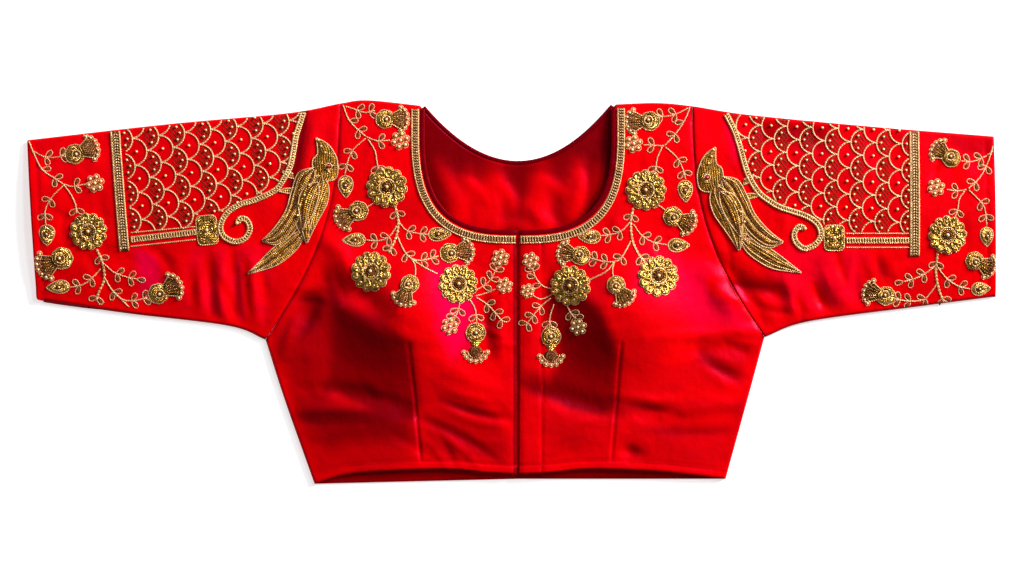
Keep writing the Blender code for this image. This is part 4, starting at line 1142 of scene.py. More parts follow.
def turned_by(points, heading):
    """Points turned anticlockwise by an angle in radians."""
    points = np.asarray(points, float)
    cosine, sine = math.cos(heading), math.sin(heading)
    return points @ np.array([[cosine, sine], [-sine, cosine]])


def drop_outline(length, width, points=28):
    """An anticlockwise oval whose end at +x comes to a point: its width is the sine of the turn, times a power
    of that of its half."""
    turn = np.linspace(0, 2 * math.pi, points, endpoint=False)
    shape = np.sin(turn) * np.abs(np.sin(turn / 2)) ** DROP_POINT
    return np.stack([length / 2 * np.cos(turn), width / 2 * shape / np.abs(shape).max()], axis=1)


def round_outline(radius, points, lobes=0, depth=0.0, phase=0.0):
    """A circle, or a ring of lobes whose depth is a share of the radius."""
    turn = np.linspace(0, 2 * math.pi, points, endpoint=False)
    reach = radius * (1 - depth + depth * np.abs(np.cos((turn - phase) * lobes / 2)))
    return ring(reach[:, None], turn)


def front_surface(side):
    """The outer surface of a front, from the centre opening out to the side seam and armhole."""
    hem = hem_arc(side)
    neckline = front_neckline(side, FRONT_PIPING["width"] + SEAM_GAP)
    top = joined(neckline, shoulder(side, neckline.points[-1][0]), NECK_SHARE["front"])
    outer = joined(side_seam(side), armhole(side), SEAM_SHARE)
    opening = Path([hem.points[0], neckline.points[0]])
    u = turned_over(shares(*FRONT_COLUMNS, NECK_SHARE["front"]), PANEL_WIDTH)
    v = turned_over(shares(*PANEL_ROWS, SEAM_SHARE), PANEL_HEIGHT)
    plan = patch(hem.at, top, opening.at, outer, u, v)
    height = lies(plan, side, "front")
    return (plan[:, ::-1], height[:, ::-1]) if side == "right" else (plan, height)


def back_surface():
    """The back, flat on the surface but for the ripples that show inside the neck; its plan is signed."""
    halves = {}
    for side in SIDES:
        neckline = back_neckline(side, BACK_PIPING["width"] + SEAM_GAP)
        hem = Path([(0.0, BACK_HEM_MIDDLE), corner("hem_corner", side)])
        top = joined(neckline, shoulder(side, neckline.points[-1][0]), NECK_SHARE["back"])
        outer = joined(side_seam(side), armhole(side), SEAM_SHARE)
        middle = Path([hem.points[0], neckline.points[0]])
        u = shares(*BACK_COLUMNS, NECK_SHARE["back"])
        v = shares(*BACK_ROWS, SEAM_SHARE)
        halves[side] = patch(hem.at, top, middle.at, outer, u, v)
    right = halves["right"][:, ::-1] * (SIDES["right"], 1)
    plan = np.concatenate([right[:, :-1], halves["left"]], axis=1)
    return plan, np.clip(folds(plan, BACK_RIPPLES), 0, None)


def sleeve_surface(side):
    """A sleeve's rings, from the armhole to the cuff, over the top, down the upper layer and back under."""
    start = armhole(side).reversed().moved_out(-SEAM_GAP)
    rim = cuff(side).reversed().points
    drop = (rim[0, 1] - rim[:, 1]) / (rim[0, 1] - rim[-1, 1])
    above = Path(np.vstack([start.points[:1], sleeve_top(side).points[1:]]))
    below = Path(np.vstack([start.points[-1:], sleeve_underside(side).points[1:]]))
    along = np.linspace(0, 1, SLEEVE_STATIONS)
    turn = FOLD_REACH * (1 - np.cos(np.radians(TURN_ANGLES))) / SLEEVE_WIDTH
    lines = np.linspace(0, 1, SLEEVE_LINES + 1)
    lines = lines[(lines > turn.max() + LEAST_SHARE / 2) & (lines < 1 - turn.max() - LEAST_SHARE / 2)]
    across = np.concatenate([turn, lines, 1 - turn[::-1]])

    def end(value):
        """The cuff's edge divided evenly in height, so that its rounded corner doesn't crowd the lines together."""
        return np.stack([np.interp(value, drop, rim[:, axis]) for axis in (0, 1)], axis=-1)

    plan = patch(above.at, below.at, start.at, end, along, across)
    over = lies(plan, side, "sleeve")
    under = FOLD_HEIGHT / 2 * (1 - turned(from_folds(plan, side)))
    # The turned edges are shared, so the lower layer leaves them out. Between its turns it is flat, and coarser
    count, bend = len(plan), len(turn)
    back = [row for row in range(count - 2, 0, -1) if row < bend or row >= count - bend or row % 3 == 0]
    rings = np.concatenate([plan, plan[back]], axis=0)
    height = np.concatenate([over, under[back]], axis=0)
    if side == "left":
        rings, height = rings[::-1], height[::-1]
    return rings, height


def shell(points, way, wrap):
    """Both skins of a cloth and the walls round its edges, closed.

    The other skin is each point p + way * thickness * n, where n is the normal of the grid there, and
    never lower than the surface that the blouse lies on.
    """
    normal = unit(np.cross(np.gradient(points, axis=1), steps_through(points, wrap)))
    other = points + normal * (way * CLOTH)
    other[..., 2] = np.maximum(other[..., 2], 0)
    rows, columns = points.shape[:2]
    count = rows * columns
    skin = grid_faces(rows, columns, wrap_rows=wrap)
    index = np.arange(count).reshape(rows, columns)
    loops = [index[:, -1], index[::-1, 0]]
    if not wrap:
        loops = [np.concatenate([index[0, :-1], index[:-1, -1], index[-1, :0:-1], index[:0:-1, 0]])]
    walls = [np.stack([np.roll(loop, -1), loop, loop + count, np.roll(loop, -1) + count], axis=1)
             for loop in loops]
    both = [points, other] if way < 0 else [other, points]
    return np.stack(both), [skin, skin[:, ::-1] + count, *walls]


def panel(name, node, plan, height, way, side=None, piece=None, wrap=False):
    """A cloth panel with its thickness, and the distance to its stitched lines, the run along them and its painted
    shade and highlight kept on its points.
    """
    points, faces = shell(set_down(plan if side is None else own(plan, side), height), way, wrap)
    work = Work()
    work.add(points, faces, np.stack([plan, plan]), "satin")
    cloth = work.finish(name, "satin")
    # With no patches of its own the cloth is deep red with painted shade, more where it lies low, less so towards
    # the hem, where only a strip of it shows
    low = 1 - np.clip(height / PLAIN_BELOW, 0, 1)
    deep = PLAIN_PAINTED_SHADE + LOW_PAINTED_SHADE * low * np.clip(plan[..., 1] / PLAIN_UP, 0.25, 1)
    stitch_marks_and_painted_light = np.stack([np.full_like(height, 0.02), np.zeros_like(height), deep], axis=-1)
    if piece:
        away, along = from_paths(plan, stitched(side, piece))
        # Painted shade in the troughs of the fine creases, on top of the patches
        hollow = np.clip(-folds(plan, FINE_CREASES[side]) / HOLLOW_DEPTH, 0, 1) * HOLLOW_PAINTED_SHADE
        stitch_marks_and_painted_light = np.stack([away, along, np.clip(painted_shade_and_highlight(plan, side) + hollow, -1, 1)], axis=-1)
    # x and y are the stitch lines' distance and run; z is the painted shade (above 0) and painted highlight (below
    # 0)
    stored = cloth.data.attributes.new("stitching", "FLOAT_VECTOR", "POINT")
    stored.data.foreach_set("vector", np.stack([stitch_marks_and_painted_light, stitch_marks_and_painted_light]).astype(np.float32).ravel())
    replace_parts(cloth, node)
    return cloth


def piping(name, node, plan, level, width, height):
    """A cord in satin, its section an ellipse, carried along a line of plan points at their levels."""
    width += PIPING_INSET * SEAM_GAP
    points = set_down(plan, level)
    run = unit(steps_through(points))
    up = unit(np.array([0.0, 0.0, 1.0]) - run * run[:, 2:])
    across = np.cross(run, up)
    angle = np.linspace(0, 2 * math.pi, 16, endpoint=False)
    along = run_length(points)
    bunch = 1 + sum(part * np.sin(2 * math.pi * along / wave) for part, wave in PIPING_BUNCHES)
    rings = points[:, None] + across[:, None] * (width / 2 * np.cos(angle))[None, :, None]
    rings = rings + up[:, None] * (height / 2 * bunch[:, None] * np.sin(angle))[..., None]
    uvs = np.stack(np.broadcast_arrays(along[:, None], (angle * width / 2)[None]), axis=-1)
    work = Work()
    tube(work, rings, uvs, "piping")
    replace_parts(work.finish(name, "piping"), node)


def blade(work, first, second, piece, crown, finish, lift=0.0):
    """A pad between two edges that share their ends: points blended across, arched by the crown, and
    lower where it narrows."""
    edges = [Path(smooth(edge, 8)) for edge in (first, second)]
    count = max(round(max(edge.lengths[-1] for edge in edges) / BLADE_STEP), 8)
    share = np.linspace(BLADE_END, 1 - BLADE_END, count + 1)
    a, b = edges[0].at(share), edges[1].at(share)
    if ((b - a) * to_right(steps_through((a + b) / 2))).sum() > 0:
        a, b = b, a
    mix = np.linspace(0, 1, BLADE_LINES)
    wide = np.linalg.norm(a - b, axis=1)
    tall = crown * np.clip(wide / (3.0 * crown), 0.15, 1)
    plan = a[:, None] * (1 - mix[:, None]) + b[:, None] * mix[:, None]
    rings = arched(plan, piece, tall[:, None] * arch(2 * mix - 1) + lift)
    along = np.broadcast_to((share * edges[0].lengths[-1])[:, None], rings.shape[:2])
    across = (mix - 0.5) * wide[:, None]
    across = np.concatenate([across, across[:, [-1, 0]]], axis=1)
    tube(work, rings, np.stack([along, across], axis=-1), finish)
    return a, b


def barbs(work, first, second, piece, spacing=0.0026, lean=0.55):
    """Short threads from the middle between two edges out to both of them, swept back: a herringbone."""
    middle = (first + second) / 2
    length = Path(middle).lengths[-1]
    share = np.linspace(0, 1, len(middle))
    wide = np.linalg.norm(first - second, axis=1).mean()

    def at(place, line):
        return [np.interp(place, share, line[:, axis]) for axis in (0, 1)]

    for place in np.arange(spacing, length - spacing, spacing) / length:
        back = min(place + lean * wide / 2 / length, 0.995)
        for edge in (first, second):
            thread(work, np.array([at(place, middle), at(back, edge)]), piece, spacing * 0.66, "dull",
                   lift=0.0004, step=wide / 8, taper=False)


def bead_in_loop(work, plan, piece, radius, loop=1.6):
    """Beads, each inside a fine ring of thread."""
    beads(work, plan, piece, radius)
    for place in np.asarray(plan).reshape(-1, 2):
        thread(work, place + round_outline(radius * loop, 18), piece, 0.00085, pitch=0.0013, closed=True,
               step=0.0007)


def bead_flower(work, centre, piece, radius):
    """Six looped beads round a seventh."""
    radius = radius * MM
    turn = np.linspace(0, 2 * math.pi, 6, endpoint=False) + 0.3
    bead = radius * 0.19
    bead_in_loop(work, centre + ring(0.66 * radius, turn), piece, bead)
    bead_in_loop(work, centre[None], piece, bead * 1.05)


def drop(work, centre, piece, length, width, heading):
    """A pointed oval pad in nested outlines of cord, with a bead at its heart."""
    length, heading = length * MM, math.radians(heading)
    outline = turned_by(drop_outline(length, width * MM), heading) + centre
    heart = centre - turned_by([[length * 0.06, 0]], heading)[0]
    thread(work, heart + (outline - heart) * 0.97, piece, 0.0010, closed=True)
    mound(work, heart, outline, piece, (0.25, 0.5, 0.75, 0.92, 1), (1.0, 1.3, 1.2, 0.9, 0.4), "coil", 0.9)
    thread(work, heart + (outline - heart) * 0.58, piece, 0.0008, "pale", closed=True, lift=0.0009)
    mound(work, heart, outline, piece, (0.5, 1), (1.5, 1.1), "copper", 0.4)
    beads(work, heart[None], piece, 0.0011, lift=0.0012)


def flower(work, centre, piece, radius, petals, phase):
    """Padded petals round a coiled centre, each with an outline of cord and a bead near its tip."""
    disc(work, centre, piece, radius * 0.84, 48, (0.4, 0.8, 1), (0.7, 0.5, 0.3), "copper")
    turn = np.linspace(0, 2 * math.pi, 20, endpoint=False)
    reach, half = radius * 0.30, radius * 0.86 * math.sin(math.pi / petals)
    petal = np.stack([reach * np.cos(turn), half * 0.94 * np.sin(turn) * (1 + 0.24 * np.cos(turn))], axis=1)
    tips = phase + 2 * math.pi * np.arange(petals) / petals
    for number, heading in enumerate(tips):
        shape = turned_by(petal + (radius * 0.69, 0), heading) + centre
        middle = turned_by([[radius * 0.66, 0]], heading)[0] + centre
        # Each petal is dished at its middle, high on one flank and crinkled round its rim
        crinkle = 1 + 0.10 * np.cos(turn * 4 + number * 2.1) + 0.16 * np.sin(turn + number * 0.9)
        heights = np.array([1.3, 1.6, 2.3, 2.1, 0.5])[:, None] * np.where(np.arange(5)[:, None] > 0, crinkle, 1)
        mound(work, middle, shape, piece, (0.22, 0.45, 0.72, 0.9, 1), heights, "petal")
        outer = turned_by(petal[np.r_[14:20, 0:7]] * 1.07 + (radius * 0.69, 0), heading) + centre
        thread(work, outer, piece, 0.00095, "pale", lift=0.0002, height=0.0009, taper=False)
    beads(work, centre + ring(radius * 0.72, tips), piece, 0.0010, lift=0.0010)
    hoop(work, centre, piece, radius * 0.40, 40, 0.0019, "pale", 0.0010, 0.0016)
    hoop(work, centre, piece, radius * 0.30, 40, 0.0015, "coil", 0.0014, 0.0016)
    disc(work, centre, piece, radius * 0.25, 24, (0.4, 0.75, 1), (2.4, 2.2, 1.6), "copper")
    spokes = np.linspace(0, 2 * math.pi, 9, endpoint=False) + phase
    beads(work, centre + ring(radius * 0.18, spokes), piece, 0.00075, "coil", lift=0.0019, segments=6)
    beads(work, centre[None], piece, 0.0017, lift=0.0019, segments=10, bands=6)


def calyx(work, centre, eye, piece, radius, rim, shares):
    """A ringed, lobed pad with two hoops, a copper heart and a bead about its eye, each by its share of
    the radius."""
    outer, inner, heart, bead = (radius * share for share in shares)
    mound(work, centre, centre + rim, piece, (0.2, 0.45, 0.7, 0.9, 1), (1.9, 2.1, 1.8, 1.2, 0.4), "coil", 0.95)
    thread(work, centre + rim, piece, 0.0010, "pale", closed=True, lift=0.0003)
    hoop(work, eye, piece, outer, 26, 0.0011, "coil", 0.0017)
    hoop(work, eye, piece, inner, 26, 0.0011, "pale", 0.0017)
    disc(work, eye, piece, heart, 16, (0.5, 1), (2.5, 2.1), "copper")
    beads(work, eye, piece, bead, lift=0.0020, segments=9, bands=5)


def bud(work, centre, piece, radius, heading):
    """A round ringed calyx, a flare in copper coil beyond it, and a scalloped fringe of beads at its mouth."""
    radius, heading = radius * MM, math.radians(heading)

    def at(*places):
        return centre + turned_by(np.array(places) * radius, heading)

    spread = np.radians(np.linspace(-60, 60, 7)) + heading
    pivot = at((0.95, 0))
    flanks = [at(*((x, sign * y) for x, y in BUD_FLANK)) for sign in (1, -1)]
    blade(work, *(np.vstack([at((0.4, 0)), flank, at((2.139, 0))]) for flank in flanks), piece, 0.0013, "copper")
    for flank in flanks:
        thread(work, smooth(flank, 6), piece, 0.0010, "pale", lift=0.0006)
    for offset, finish in ((-0.5, "shade"), (-0.25, "coil"), (0, "shade"), (0.25, "coil"), (0.5, "shade")):
        thread(work, at((0.9, offset * 0.7), (1.95, offset * 1.5)), piece, 0.0012, finish, lift=0.0010)
    bead_in_loop(work, pivot + ring(radius * 1.42, spread), piece, radius * 0.14, 1.65)
    hem = np.linspace(spread[0], spread[-1], 16)
    thread(work, pivot + ring(radius * 1.16, hem), piece, 0.0009, "pale", lift=0.0005)
    rim = round_outline(radius * 0.98, 42, 7, 0.07, heading)
    calyx(work, centre, at((0.16, -0.1))[0], piece, radius, rim, (0.66, 0.42, 0.30, 0.15))


def hanging_bud(work, centre, piece, radius):
    """A ringed round body hanging by a stem, its point, a copper cup and a crescent of looped beads."""
    radius = radius * MM

    def at(*places):
        return centre + turned_by(np.array(places) * radius, -math.pi / 2)

    flanks = [at((0.5, 0), (0.8, sign * 0.5), (1.3, sign * 0.3), (1.55, 0)) for sign in (-1, 1)]
    blade(work, *flanks, piece, 0.0014, "coil")
    disc(work, at((1.95, 0))[0], piece, radius * 0.68, 24, (0.4, 0.75, 1), (1.5, 1.3, 0.5), "copper")
    mouth = at((1.65, 0))
    crescent = np.radians(np.linspace(195, 345, 7))
    bead_in_loop(work, mouth + ring(radius * 1.22, crescent), piece, radius * 0.125, 1.7)
    arc = np.radians(np.linspace(190, 350, 24))
    thread(work, mouth + ring(radius * 0.86, arc), piece, 0.0010, "pale", lift=0.0004)
    rim = round_outline(radius * 0.98, 42, 8, 0.05)
    calyx(work, centre, centre, piece, radius, rim, (0.68, 0.44, 0.28, 0.16))


def leaf(work, root, piece, heading, length, width):
    """A loop of chain stitch growing from its root, with one dark stitch inside."""
    outline = turned_by(-drop_outline(length, width, 20) + (length / 2, 0), heading) + root
    thread(work, outline, piece, 0.00085, pitch=0.0016, closed=True, step=0.0008)
    middle = root + turned_by([[length * 0.55, 0]], heading)[0]
    seed = turned_by(round_outline(1.0, 10) * (length * 0.28, width * 0.22), heading)
    mound(work, middle, middle + seed, piece, (0.6, 1), (0.7, 0.3), "seed")


def stem(work, piece, points, thick, leaves, length, width):
    """A stem of corded thread, two strands together where it is thick, and the leaves along it."""
    line = smooth(np.array(points) * MM, 10)
    if thick > 2:
        for phase in (0.0, 2 * math.pi):
            thread(work, line, piece, 0.00135, "pale", pitch=0.0034, sway=0.00052, phase=phase, step=0.0007)
    else:
        thread(work, line, piece, thick * MM, pitch=0.0024, sway=0.00012)
    path = Path(line)
    for row in leaves:
        share, growing = row if isinstance(row, tuple) else (row, "lr")
        run = path.at(min(share + 0.03, 1.0)) - path.at(max(share - 0.03, 0.0))
        for name in growing:
            leaf(work, path.at(share), piece, math.atan2(run[1], run[0]) + LEAF_LEAN[name], length, width)


def ladder(work, line, piece, width, rung, cords, slant=0.0, rungs="pale"):
    """A band of closely set rungs between two corded edges, on a padded ground."""
    path = Path(line)
    middle = evenly(line, 0.0012)
    ribbon(work, middle, width / 2, piece, GROUND, "copper", 5, 0.0016)
    for sign in (-1, 1):
        edge = path.moved_out(sign * (width - cords) / 2).points
        thread(work, edge, piece, cords, "pale", pitch=0.0028, lift=0.0003)
    number = int(path.lengths[-1] / rung)
    share = (np.arange(number) + 0.5) / number
    nearby = 0.5 / len(middle)
    ahead = unit(path.at(np.clip(share + nearby, 0, 1)) - path.at(np.clip(share - nearby, 0, 1)))
    half = width / 2 - cords * 0.7
    for place, out in zip(path.at(share), (to_right(ahead) + ahead * slant) * half):
        thread(work, np.array([place - out, place + out]), piece, rung * 0.55, rungs, lift=GROUND * 0.8,
               step=half * 2 / 5, taper=False)


def braid(work, line, piece, width):
    """A wide border: two corded edges on a dark ground, with a herringbone of thick strands between them."""
    line = evenly(line, 0.0012)
    ribbon(work, line, width / 2, piece, GROUND, "copper", 7, 0.0015)
    for sign in (-1, 1):
        edge = Path(line).moved_out(sign * (width - 0.0018) / 2).points
        thread(work, edge, piece, 0.0019, "pale", pitch=0.0030, lift=0.0003)
    inner = [Path(line).moved_out(sign * (width / 2 - 0.0019)).points for sign in (-1, 1)]
    barbs(work, *inner, piece)


def within(plan, polygon):
    """Which points lie inside a polygon, by counting the edges crossed on the way out along +x."""
    start, end = polygon, np.roll(polygon, -1, 0)
    x, y = plan[..., 0, None], plan[..., 1, None]
    spans = (start[:, 1] > y) != (end[:, 1] > y)
    with np.errstate(divide="ignore", invalid="ignore"):
        crossing = start[:, 0] + (y - start[:, 1]) * (end[:, 0] - start[:, 0]) / (end[:, 1] - start[:, 1])
    return (spans & (x < crossing)).sum(-1) % 2 == 1


def runs(plan, kept, least=5):
    """The stretches of a line whose points are all kept."""
    edges = np.flatnonzero(np.diff(np.concatenate([[False], kept, [False]]).astype(int)))
    return [plan[a:b] for a, b in zip(edges[::2], edges[1::2]) if b - a >= least]


def net(side):
    """Fish scales of cord over the sleeve: rows of half circles, every other column set half a step on,
    plain with one bead or dark netting with three."""
    rule = NET[side]
    polygon = np.array(FIELD[side]) * MM
    first, along, down = (np.array(rule[key]) * MM for key in ("first", "along", "down"))
    radius = rule["radius"] * MM
    work = Work()
    heading = math.atan2(along[1], along[0]) if side == "right" else math.atan2(-along[1], -along[0])
    arc = np.radians(np.linspace(-88, 88, 40))
    spot_angles = np.radians([-46, 0, 46])

    def kept(plan):
        return within(plan, polygon) & sits(plan, "sleeve")

    def netting(centre):
        """Crossing lines, inside this scale and clear of the two that overlap it."""
        others = [centre + SIDES[side] * along * 0.5 + down * half for half in (0.5, -0.5)]
        for slope in (-1, 1):
            for offset in (-0.66, -0.28, 0.10, 0.48, 0.86):
                ends = np.array([(-0.10, -0.62 * slope + offset), (0.92, 0.55 * slope + offset)])
                line = evenly(centre + turned_by(ends * radius, heading), 0.0004)
                inside = (np.linalg.norm(line - centre, axis=1) < radius * 0.95) & kept(line)
                for other in others:
                    inside &= np.linalg.norm(line - other, axis=1) > radius * 1.02
                for part in runs(line, inside, 5):
                    thread(work, part, "sleeve", 0.00072, "netting", pitch=0.0018, step=0.0018)

    for column in range(*rule["columns"]):
        for row in range(*rule["rows"]):
            for shift in (0, 0.5):
                heart = first + along * (column + shift) + down * (row + shift)
                centre = heart - turned_by([[radius * 0.26, 0]], heading)[0]
                scale = centre + turned_by(ring(radius, arc), heading)
                if not kept(np.vstack([scale, heart])).any():
                    continue
                line = evenly(scale, 0.0004)
                for part in runs(line, kept(line), 6):
                    thread(work, part, "sleeve", 0.00150, pitch=0.0026, step=0.0008)
                if shift:
                    spots = centre + turned_by(ring(radius * 0.66, spot_angles), heading)
                    spots = spots[kept(spots)]
                    if len(spots):
                        beads(work, spots, "sleeve", 0.00125, segments=6, lift=0.0004)
                    netting(centre)
                elif kept(heart):
                    beads(work, heart, "sleeve", 0.00135, segments=8, bands=5)
    work.finish(f"net_{side}")


def trimmed(line):
    """A line on a sleeve without the stretches that have reached a fold or lie beyond it."""
    line = evenly(line, 0.0008)
    return max(runs(line, sits(line, "sleeve", 0.0012)), key=len)


def sleeve_bands(side):
    """The scroll that curls under the net, the rail beside it with a thin line on either side, and the block."""
    work = Work()
    scroll = trimmed(smooth(np.array(SCROLL[side]) * MM, 10))
    ladder(work, scroll, "sleeve", 0.0056, 0.0026, 0.0021, slant=0.5)
    beads(work, scroll[-1:], "sleeve", 0.0016, lift=0.0005, segments=9, bands=5)
    rails = RAILS[side]
    ladder(work, evenly(np.array(rails["middle"]) * MM, 0.002), "sleeve", 0.0058, 0.0025, 0.0014)
    for name in ("above", "below"):
        thread(work, np.array(rails[name]) * MM, "sleeve", 0.0011)
    centre, half, turn = rails["block"]
    centre = np.array(centre) * MM
    # A square with its corners rounded off: a superellipse
    circle = ring(1.0, np.linspace(0, 2 * math.pi, 48, endpoint=False))
    square = np.sign(circle) * np.abs(circle) ** 0.36 * half * MM
    outline = centre + turned_by(square, math.radians(turn))
    steps, heights = (0.2, 0.4, 0.6, 0.8, 0.93, 1), (1.2, 1.5, 1.25, 1.5, 1.1, 0.4)
    mound(work, centre, outline, "sleeve", steps, heights, "coil", 0.97)
    for share, finish, lift in ((1.0, "pale", 0.0002), (0.72, "shade", 0.0011), (0.46, "coil", 0.0011)):
        thread(work, centre + (outline - centre) * share, "sleeve", 0.0012, finish, closed=True, lift=lift)
    beads(work, centre, "sleeve", 0.0018, lift=0.0014, segments=10, bands=6)
    work.finish(f"bands_{side}")


def neck_border(side):
    """The border beside the front piping, from the centre opening up to the shoulder."""
    line = front_neckline(side, NECK_BORDER["out"])
    middle = line.at(np.linspace(0.004, NEARLY_ALL, 160)) * (SIDES[side], 1)
    work = Work()
    ladder(work, middle, "front", NECK_BORDER["width"], 0.0026, 0.0016, rungs="dull")
    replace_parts(work.finish(f"neck_border_{side}"), f"border_neck_{side}")


def cuff_border(side):
    """The braid across the sleeve, where the net ends."""
    middle = trimmed(Path(CUFF_BORDER[side]).at(np.linspace(0, 1, 60)) * (SIDES[side], 1))
    work = Work()
    braid(work, middle, "sleeve", CUFF_BORDER["width"])
    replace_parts(work.finish(f"cuff_border_{side}"), f"border_cuff_{side}")


def bird(side):
    """A bird of padded coil: tail, back, folded wing with a long feather on it, head and crest, and its feet."""
    work = Work()
    place, lean = PERCHES[side]
    lean = math.radians(lean)
    axes = np.array([[math.sin(lean), -math.cos(lean)], [math.cos(lean), math.sin(lean)]])

    def laid(*points):
        return (np.array(points) @ axes + place) * (SIDES[side], 1) * MM

    for crown, lift, first, second, strands in BIRD:
        edges = blade(work, laid(*first), laid(*second), "sleeve", crown, "shade", lift)
        for edge in edges:
            thread(work, edge, "sleeve", 0.0012, lift=lift + 0.0004)
        for number in range(strands):
            share = (number + 1) / (strands + 1)
            line = (edges[0] * share + edges[1] * (1 - share))[3:-3]
            width, finish = (0.0015, "copper") if number % 2 else (0.0010, "pale")
            thread(work, line, "sleeve", width, finish, lift=lift + crown * 0.78)
    eye = laid(BIRD_EYE)
    hoop(work, eye, "sleeve", 0.0046, 26, 0.0014, "coil", 0.0020)
    hoop(work, eye, "sleeve", 0.0031, 26, 0.0014, "pale", 0.0020)
    beads(work, eye, "sleeve", 0.0019, "garnet", lift=0.0018, segments=10, bands=6)
    beads(work, laid((-9, 2), (-14, 7), (-19, 11)), "sleeve", 0.0012, lift=0.0018)
    beads(work, laid((24, 10), (34, 12), (44, 14), (54, 14)), "sleeve", 0.0013, lift=0.0030)
    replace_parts(work.finish(f"sewn_bird_{side}"), f"bird_{side}")


def piece_at(x):
    """The piece that a motif at this signed x, in mm, is sewn on."""
    return "sleeve" if abs(x) > SLEEVE_FROM else "front"


def rows_on(table, piece, side):
    """The rows of a table that are sewn on one piece, by the x that each begins with."""
    for row in table:
        x = np.ravel(row[0])[0]
        if x * SIDES[side] > 0 and piece_at(x) == piece:
            yield row


def add_node(tree, kind, inputs=None, **settings):
    """A node with its settings, its sockets linked or given plain values."""
    made = tree.nodes.new(kind)
    for name, value in settings.items():
        setattr(made, name, value)
    for name, value in (inputs or {}).items():
        if isinstance(value, bpy.types.NodeSocket):
            tree.links.new(value, made.inputs[name])
        else:
            made.inputs[name].default_value = value
    return made


def calculate(tree, operation, *values):
    """One step of arithmetic."""
    return add_node(tree, "ShaderNodeMath", dict(enumerate(values)), operation=operation).outputs[0]


def product(tree, first, second):
    """Both values multiplied."""
    return calculate(tree, "MULTIPLY", first, second)


def scaled(tree, value, by, plus):
    """A value multiplied, with another added."""
    return calculate(tree, "MULTIPLY_ADD", value, by, plus)


def remap(tree, value, low, high, to_low=0.0, to_high=1.0):
    """A value eased from one range to another, and held at its ends."""
    sockets = {"Value": value, "From Min": low, "From Max": high, "To Min": to_low, "To Max": to_high}
    return add_node(tree, "ShaderNodeMapRange", sockets, interpolation_type="SMOOTHSTEP").outputs["Result"]


def mixed(tree, share, first, second):
    """A colour between two, each a socket or three numbers."""
    ends = {place: value if isinstance(value, bpy.types.NodeSocket) else (*value[:3], 1.0)
            for place, value in ((6, first), (7, second))}
    return add_node(tree, "ShaderNodeMix", {0: share, **ends}, data_type="RGBA").outputs[2]


def group(name, inputs, outputs, fill):
    """A shader group, built once; fill lays its nodes between its sockets."""
    tree = bpy.data.node_groups.get(name)
    if tree is None:
        tree = bpy.data.node_groups.new(name, "ShaderNodeTree")
        for label, kind, value in inputs:
            socket = tree.interface.new_socket(label, in_out="INPUT", socket_type=kind)
            if value is not None:
                socket.default_value = value
        for label in outputs:
            tree.interface.new_socket(label, in_out="OUTPUT", socket_type="NodeSocketFloat")
        source = tree.nodes.new("NodeGroupInput")
        sink = tree.nodes.new("NodeGroupOutput")
        for label, value in fill(tree, source.outputs).items():
            tree.links.new(value, sink.inputs[label])
    return tree


def uneven():
    """Soft unevenness from 0 to 1: noise of the given scale, drawn to a sharper contrast."""

    def fill(tree, given):
        sockets = {"Vector": given["Vector"], "Scale": given["Scale"], "Detail": 3.0}
        noise = add_node(tree, "ShaderNodeTexNoise", sockets)
        return {"Mask": remap(tree, noise.outputs["Fac"], 0.32, 0.68)}

    sockets = [("Vector", "NodeSocketVector", None), ("Scale", "NodeSocketFloat", 20.0)]
    return group("Uneven", sockets, ["Mask"], fill)


def weave():
    """Satin: long floats laid side by side, stepped on a slant, with thicker threads here and there."""

    def fill(tree, given):
        split = add_node(tree, "ShaderNodeSeparateXYZ", {"Vector": given["Vector"]}).outputs
        across = product(tree, split["X"], given["Threads"])
        along = product(tree, split["Y"], given["Threads"])
        ridge = calculate(tree, "SINE", product(tree, across, 2 * math.pi))
        slant = calculate(tree, "ADD", product(tree, across, 0.4), product(tree, along, 0.2))
        step = calculate(tree, "SINE", product(tree, slant, 2 * math.pi))
        height = scaled(tree, step, 0.35, product(tree, ridge, 0.65))
        stretched = add_node(tree, "ShaderNodeMapping", {"Vector": given["Vector"], "Scale": (900.0, 45.0, 1.0)})
        slub = add_node(tree, "ShaderNodeTexNoise", {"Vector": stretched.outputs[0], "Scale": 1.0, "Detail": 2.0})
        return {"Height": height, "Slub": remap(tree, slub.outputs["Fac"], 0.45, 0.75)}

    sockets = [("Vector", "NodeSocketVector", None), ("Threads", "NodeSocketFloat", 2400.0)]
    return group("Satin Weave", sockets, ["Height", "Slub"], fill)


def stitching():
    """Machine stitches from a panel's own attribute: x is the distance from their line, y the run along it."""

    def fill(tree, given):
        split = add_node(tree, "ShaderNodeSeparateXYZ", {"Vector": given["Line"]}).outputs
        away = remap(tree, split["X"], 0.00022, 0.00042, 1.0, 0.0)
        turn = calculate(tree, "FRACT", calculate(tree, "DIVIDE", split["Y"], given["Length"]))
        centred = calculate(tree, "ABSOLUTE", calculate(tree, "SUBTRACT", turn, 0.5))
        # Groove is the nearness to a stitched line, where the satin gets painted shade
        return {"Thread": product(tree, away, remap(tree, centred, 0.36, 0.42, 1.0, 0.0)),
                "Groove": remap(tree, split["X"], 0.0003, 0.0012, 1.0, 0.0)}

    sockets = [("Line", "NodeSocketVector", None), ("Length", "NodeSocketFloat", 0.0026)]
    return group("Stitching", sockets, ["Thread", "Groove"], fill)


